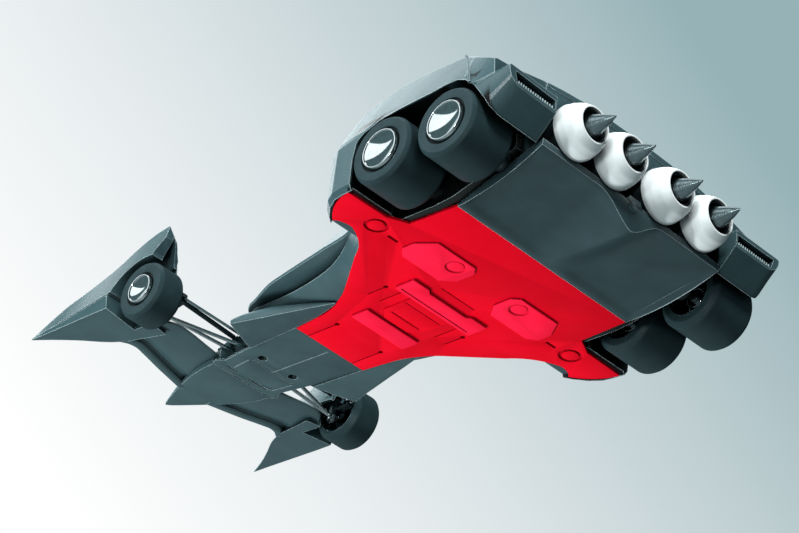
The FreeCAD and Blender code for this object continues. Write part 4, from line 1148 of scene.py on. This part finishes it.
def make_deck():
    stations = [(-57.0, 38.6, 41.2), (-66.0, 39.2, 42.0), (-80.0, 39.8, 42.6), (-95.0, 40.0, 42.9),
                (-107.0, 40.2, 43.0),
                (-116.0, 40.5, 43.0), (-119.4, 40.6, 42.9)]
    rows = []
    for x, under, top in stations:
        left = [(8.0, top - 0.02), (20.0, top - 0.25), (30.0, top - 0.8), (42.0, top - 2.3),
                (50.4, top - 3.7),
                (50.9, top - 4.2), (50.9, under - 3.0), (30.0, under - 1.0)]
        rows.append(section(x, top, left, under))
    deck = loft(rows, 3)
    slots = []
    for index in range(6):
        x = -72.0 - index * 5.0
        for low_y, high_y in ((7, 19), (-19, -7)):
            slots.append(block((x - 1.0, low_y, 41.4), (x + 1.0, high_y, 46)))
    face = [(-50.9, 27.0), (50.9, 27.0), (50.9, 38.9), (42.0, 40.2), (30.0, 41.6), (8.0, 42.3), (-8.0, 42.3),
            (-30.0, 41.6),
            (-42.0, 40.2), (-50.9, 38.9)]
    rear_face = push([(-119.1, y, z) for y, z in face], (1.6, 0, 0))
    piece("rear_face", rear_face, SLATE, bevel=0.15)
    piece("rear_deck_skin", carved(deck, slots), SLATE, bevel=0.25)


def ramp(u):
    """Height of the diffuser's tunnels above the floor, from 0 at their front to 1 at the rear edge."""
    start = min(u / 0.10, 1.0)
    return 0.07 * start * start * (3 - 2 * start) + 0.93 * u


def tunnel_height(x, y):
    u = (DIFFUSER_FRONT - 1.6 - x) / (DIFFUSER_FRONT - 1.6 - DIFFUSER_REAR)
    if u <= 0:
        return 0.0
    across = min(abs(y) / (13.5 + 4.5 * u), 1.0)
    keel = math.sin(math.pi / 2 * across) ** 1.6
    side = min(max((49.6 - abs(y)) / (2.6 - 1.6 * u), 0.0), 1.0)
    side = side * side * (3 - 2 * side)
    return 9.6 * ramp(u) * keel * (side + (1 - side) * u)


def make_diffuser():
    """Two ramps that rise to the rear edge from a flat border, with a flared keel hanging between them."""
    front, rear = DIFFUSER_FRONT, DIFFUSER_REAR
    cuts = [0, 0.7, 1.4, 1.8, 2.4, 3.2, 4.2, 5.6] + [7.5 + 2.0 * k for k in range(17)]
    xs = [front - c for c in cuts if front - c > rear + 0.6] + [rear]
    ys = [0.0, 0.35, 0.8, 1.5, 2.4, 3.5, 5, 6.5, 8, 9.5, 11, 12.5, 14, 15.5, 17, 18.5, 20.5, 24, 30, 37, 43,
          45.6, 46.8, 47.8, 48.7,
          49.6]
    ys = [-y for y in reversed(ys[1:])] + ys
    low, high = [], []
    for x in xs:
        u = (front - x) / (front - rear)
        wide = (47.1 + 2.5 * u) / 49.6
        low += [(x, y * wide, FLOOR + tunnel_height(x, y)) for y in ys]
        high += [(x, y * wide, FLOOR + 1.3 + 11.0 * u) for y in ys]
    wide_count, long_count = len(ys), len(xs)
    offset = len(low)
    faces = []
    for i in range(long_count - 1):
        for j in range(wide_count - 1):
            a = i * wide_count + j
            faces.append((a, a + 1, a + wide_count + 1, a + wide_count))
            faces.append((offset + a, offset + a + wide_count, offset + a + wide_count + 1, offset + a + 1))
    for i in range(long_count - 1):
        for j in (0, wide_count - 1):
            a = i * wide_count + j
            faces.append((a, a + wide_count, offset + a + wide_count, offset + a))
    for i in (0, long_count - 1):
        for j in range(wide_count - 1):
            a = i * wide_count + j
            faces.append((a, a + 1, offset + a + 1, offset + a))
    shell = mesh_of(low + high, faces)
    boss = push([(rear, -9.5, 14.9), (rear, 9.0, 14.9), (rear, 3.4, 15.4), (rear, 1.9, 18.1),
                 (rear, -4.0, 18.1),
                 (rear, -5.2, 15.4)], (1.6, 0, 0))
    piece("diffuser_skin", shell, SLATE_SHADED_COPY, bevel=0.22, angle=33)
    piece("diffuser_boss", boss, SLATE, bevel=0.15)
    cap = lathe([(0, rear + 2), (2.2, rear + 2), (2.2, rear - 0.45, 0.4), (1.1, rear - 0.85, 0.3),
                 (0, rear - 0.85)],
                "X", (0, 0, 13.6), 48)
    piece("diffuser_screw_cap", cap, SLATE, nodes=("diffuser_screw",))


SLOT = [(73.2, 28.3), (51.8, 27.9), (51.8, 24.0), (71.8, 24.0)]


def block_outline(crease, bottom_z, top_z):
    """Section of the vent block: flat top and underside joined by a full rounded outer edge."""
    turn, foot = (crease[0] - 0.1, bottom_z + 1.2), (crease[0] - 6.6, bottom_z)
    curve = []
    for step in range(9):
        t = step / 8
        parts = zip(crease, turn, foot)
        curve.append(tuple((1 - t) ** 2 * a + 2 * t * (1 - t) * b + t * t * c for a, b, c in parts))
    return [(BODY_Y + 0.05, top_z), (crease[0] - 0.6, top_z)] + curve + [(BODY_Y + 0.05, bottom_z)]


def make_vents():
    """The tail behind each wheel arch and the vent block under it, with a slot and small teeth at the rear."""
    inner = BODY_Y + 0.05
    stations = [
        (SEAM_X, [(inner, 15.8), (77.4, 15.8), (78.4, 28.0), (73.7, 42.6), (72.9, 43.5), (62.9, 40.9),
                  (inner, 39.6)]),
        (-111.5, [(inner, 17.8), (71.0, 18.0), (78.1, 26.4), (75.9, 38.2), (74.6, 39.2), (62.5, 39.4),
                  (inner, 39.4)]),
        (-119.0, [(inner, 19.0), (70.0, 19.4), (77.3, 28.0), (78.0, 33.6), (76.8, 34.2), (68.0, 35.3),
                  (inner, 39.2)]),
    ]
    tail = loft([[(x, y, z) for y, z in corners] for x, corners in stations])
    block_rows = [(-109.0, block_outline((78.2, 23.6), 9.0, 27.0)),
                  (-117.0, block_outline((77.6, 26.0), 13.6, 28.6)),
                  (TAIL_X, block_outline((76.4, 29.2), 22.7, 29.8))]
    vent_block = loft([[(x, y, z) for y, z in corners] for x, corners in block_rows])
    slot = push([(TAIL_X - 1, y, z) for y, z in SLOT], (6.0, 0, 0))
    hull = carved(tail, [vent_block], "UNION")
    hull = largest(carved(hull, [well_cutter(BODY_Y - 3), slot]))
    both("vent_housing", hull, SLATE, bevel=0.25, angle=24, sharp=12)
    back = TAIL_X + 4.9
    both("vent_grille", block((back - 0.7, 52.0, 24.1), (back, 71.6, 28.0)), GRILLE)
    for side, sign in SIDES.items():
        teeth = []
        for index in range(15):
            y = sign * (53.0 + index * 1.27)
            teeth.append(drum((TAIL_X + 0.4, y, 23.9), (TAIL_X + 0.4, y, 25.1), 0.34, 12))
        piece(f"vent_teeth_{side}", merged(teeth), TEETH_PAINTED_HIGHLIGHT)


def make_canopy():
    stations = [(43.6, 1.0, 24.8, 25.5), (39.0, 4.2, 25.4, 28.2), (34.0, 6.4, 26.0, 30.6),
                (27.0, 8.4, 27.2, 33.8),
                (20.0, 9.7, 28.4, 36.8), (12.0, 10.6, 29.8, 39.6), (4.0, 11.0, 31.0, 41.6),
                (-4.0, 10.9, 32.6, 43.0),
                (-12.0, 10.5, 33.8, 43.8), (-20.0, 9.8, 34.6, 44.0), (-28.0, 8.8, 35.4, 43.7),
                (-36.0, 7.5, 36.0, 43.1),
                (-44.0, 6.0, 36.6, 42.2), (-52.0, 4.4, 37.2, 41.2), (-58.0, 3.2, 37.6, 40.6)]
    rows = []
    for x, half, low, high in stations:
        rise = high - low
        left = [(half * math.sin(t), low + rise * (math.cos(t) ** 0.8 if k < 6 else 0.0))
                for k, t in enumerate(math.pi / 12 * step for step in range(1, 7))]
        rows.append(section(x, high, left, low))
    piece("canopy_skin", loft(rows, 2), GLASS)
    for sign, side in ((1, "left"), (-1, "right")):
        rail = []
        for x, half, low, high in stations[1:-1]:
            y = sign * (half + 0.1)
            rail.append([(x, y - 0.5 * sign, low - 0.4), (x, y + 0.5 * sign, low - 0.4),
                         (x, y + 0.3 * sign, low + 0.8),
                         (x, y - 0.4 * sign, low + 0.8)])
        piece(f"canopy_rail_{side}", loft(rail, 2), SLATE, bevel=0.12)


make_fenders()
make_deck()
make_diffuser()
make_vents()
make_canopy()

for obj in bpy.context.scene.objects:
    if obj.type == "MESH" and obj.name.startswith(("floor_p", "latch_bar", "centre_hatch")):
        FLOOR_PIECES.objects.link(obj)

# --------------------------------------------------------------------------------- materials of the CAD nodes
NODE_FINISH = {
    "axle_bearings": STEEL, "rear_axle": STEEL, "body_shell": SLATE, "brake_disc": CHROME, "canopy": GLASS,
    "centre_hatch": RED, "diffuser_screw": SLATE, "diffuser": SLATE_UNDER, "fender": SLATE,
    "floor_pad": RED_PAD,
    "floor_plate": RED, "front_wing": SLATE, "kingpins": CHROME_LINK, "knuckle": DARK_METAL,
    "latch_bar": RED_PAD,
    "lower_arm": CHROME_LINK, "nose_floor": SLATE_UNDER, "nose_tip": SLATE_UNDER,
    "nozzle_liners": NOZZLE_DARK,
    "pod": SLATE, "rear_deck": SLATE, "steering_rack": CHROME_LINK, "strake": SLATE_UNDER,
    "suspension_bulkhead": DARK_METAL, "upper_arm": DARK_METAL, "vent_grille": GRILLE, "vent_housing": SLATE,
}


def dress_nodes():
    for name, obj in frame["nodes"].items():
        for start, material in NODE_FINISH.items():
            if name.startswith(start):
                for slot in obj.material_slots:
                    slot.material = material
                break


dress_nodes()
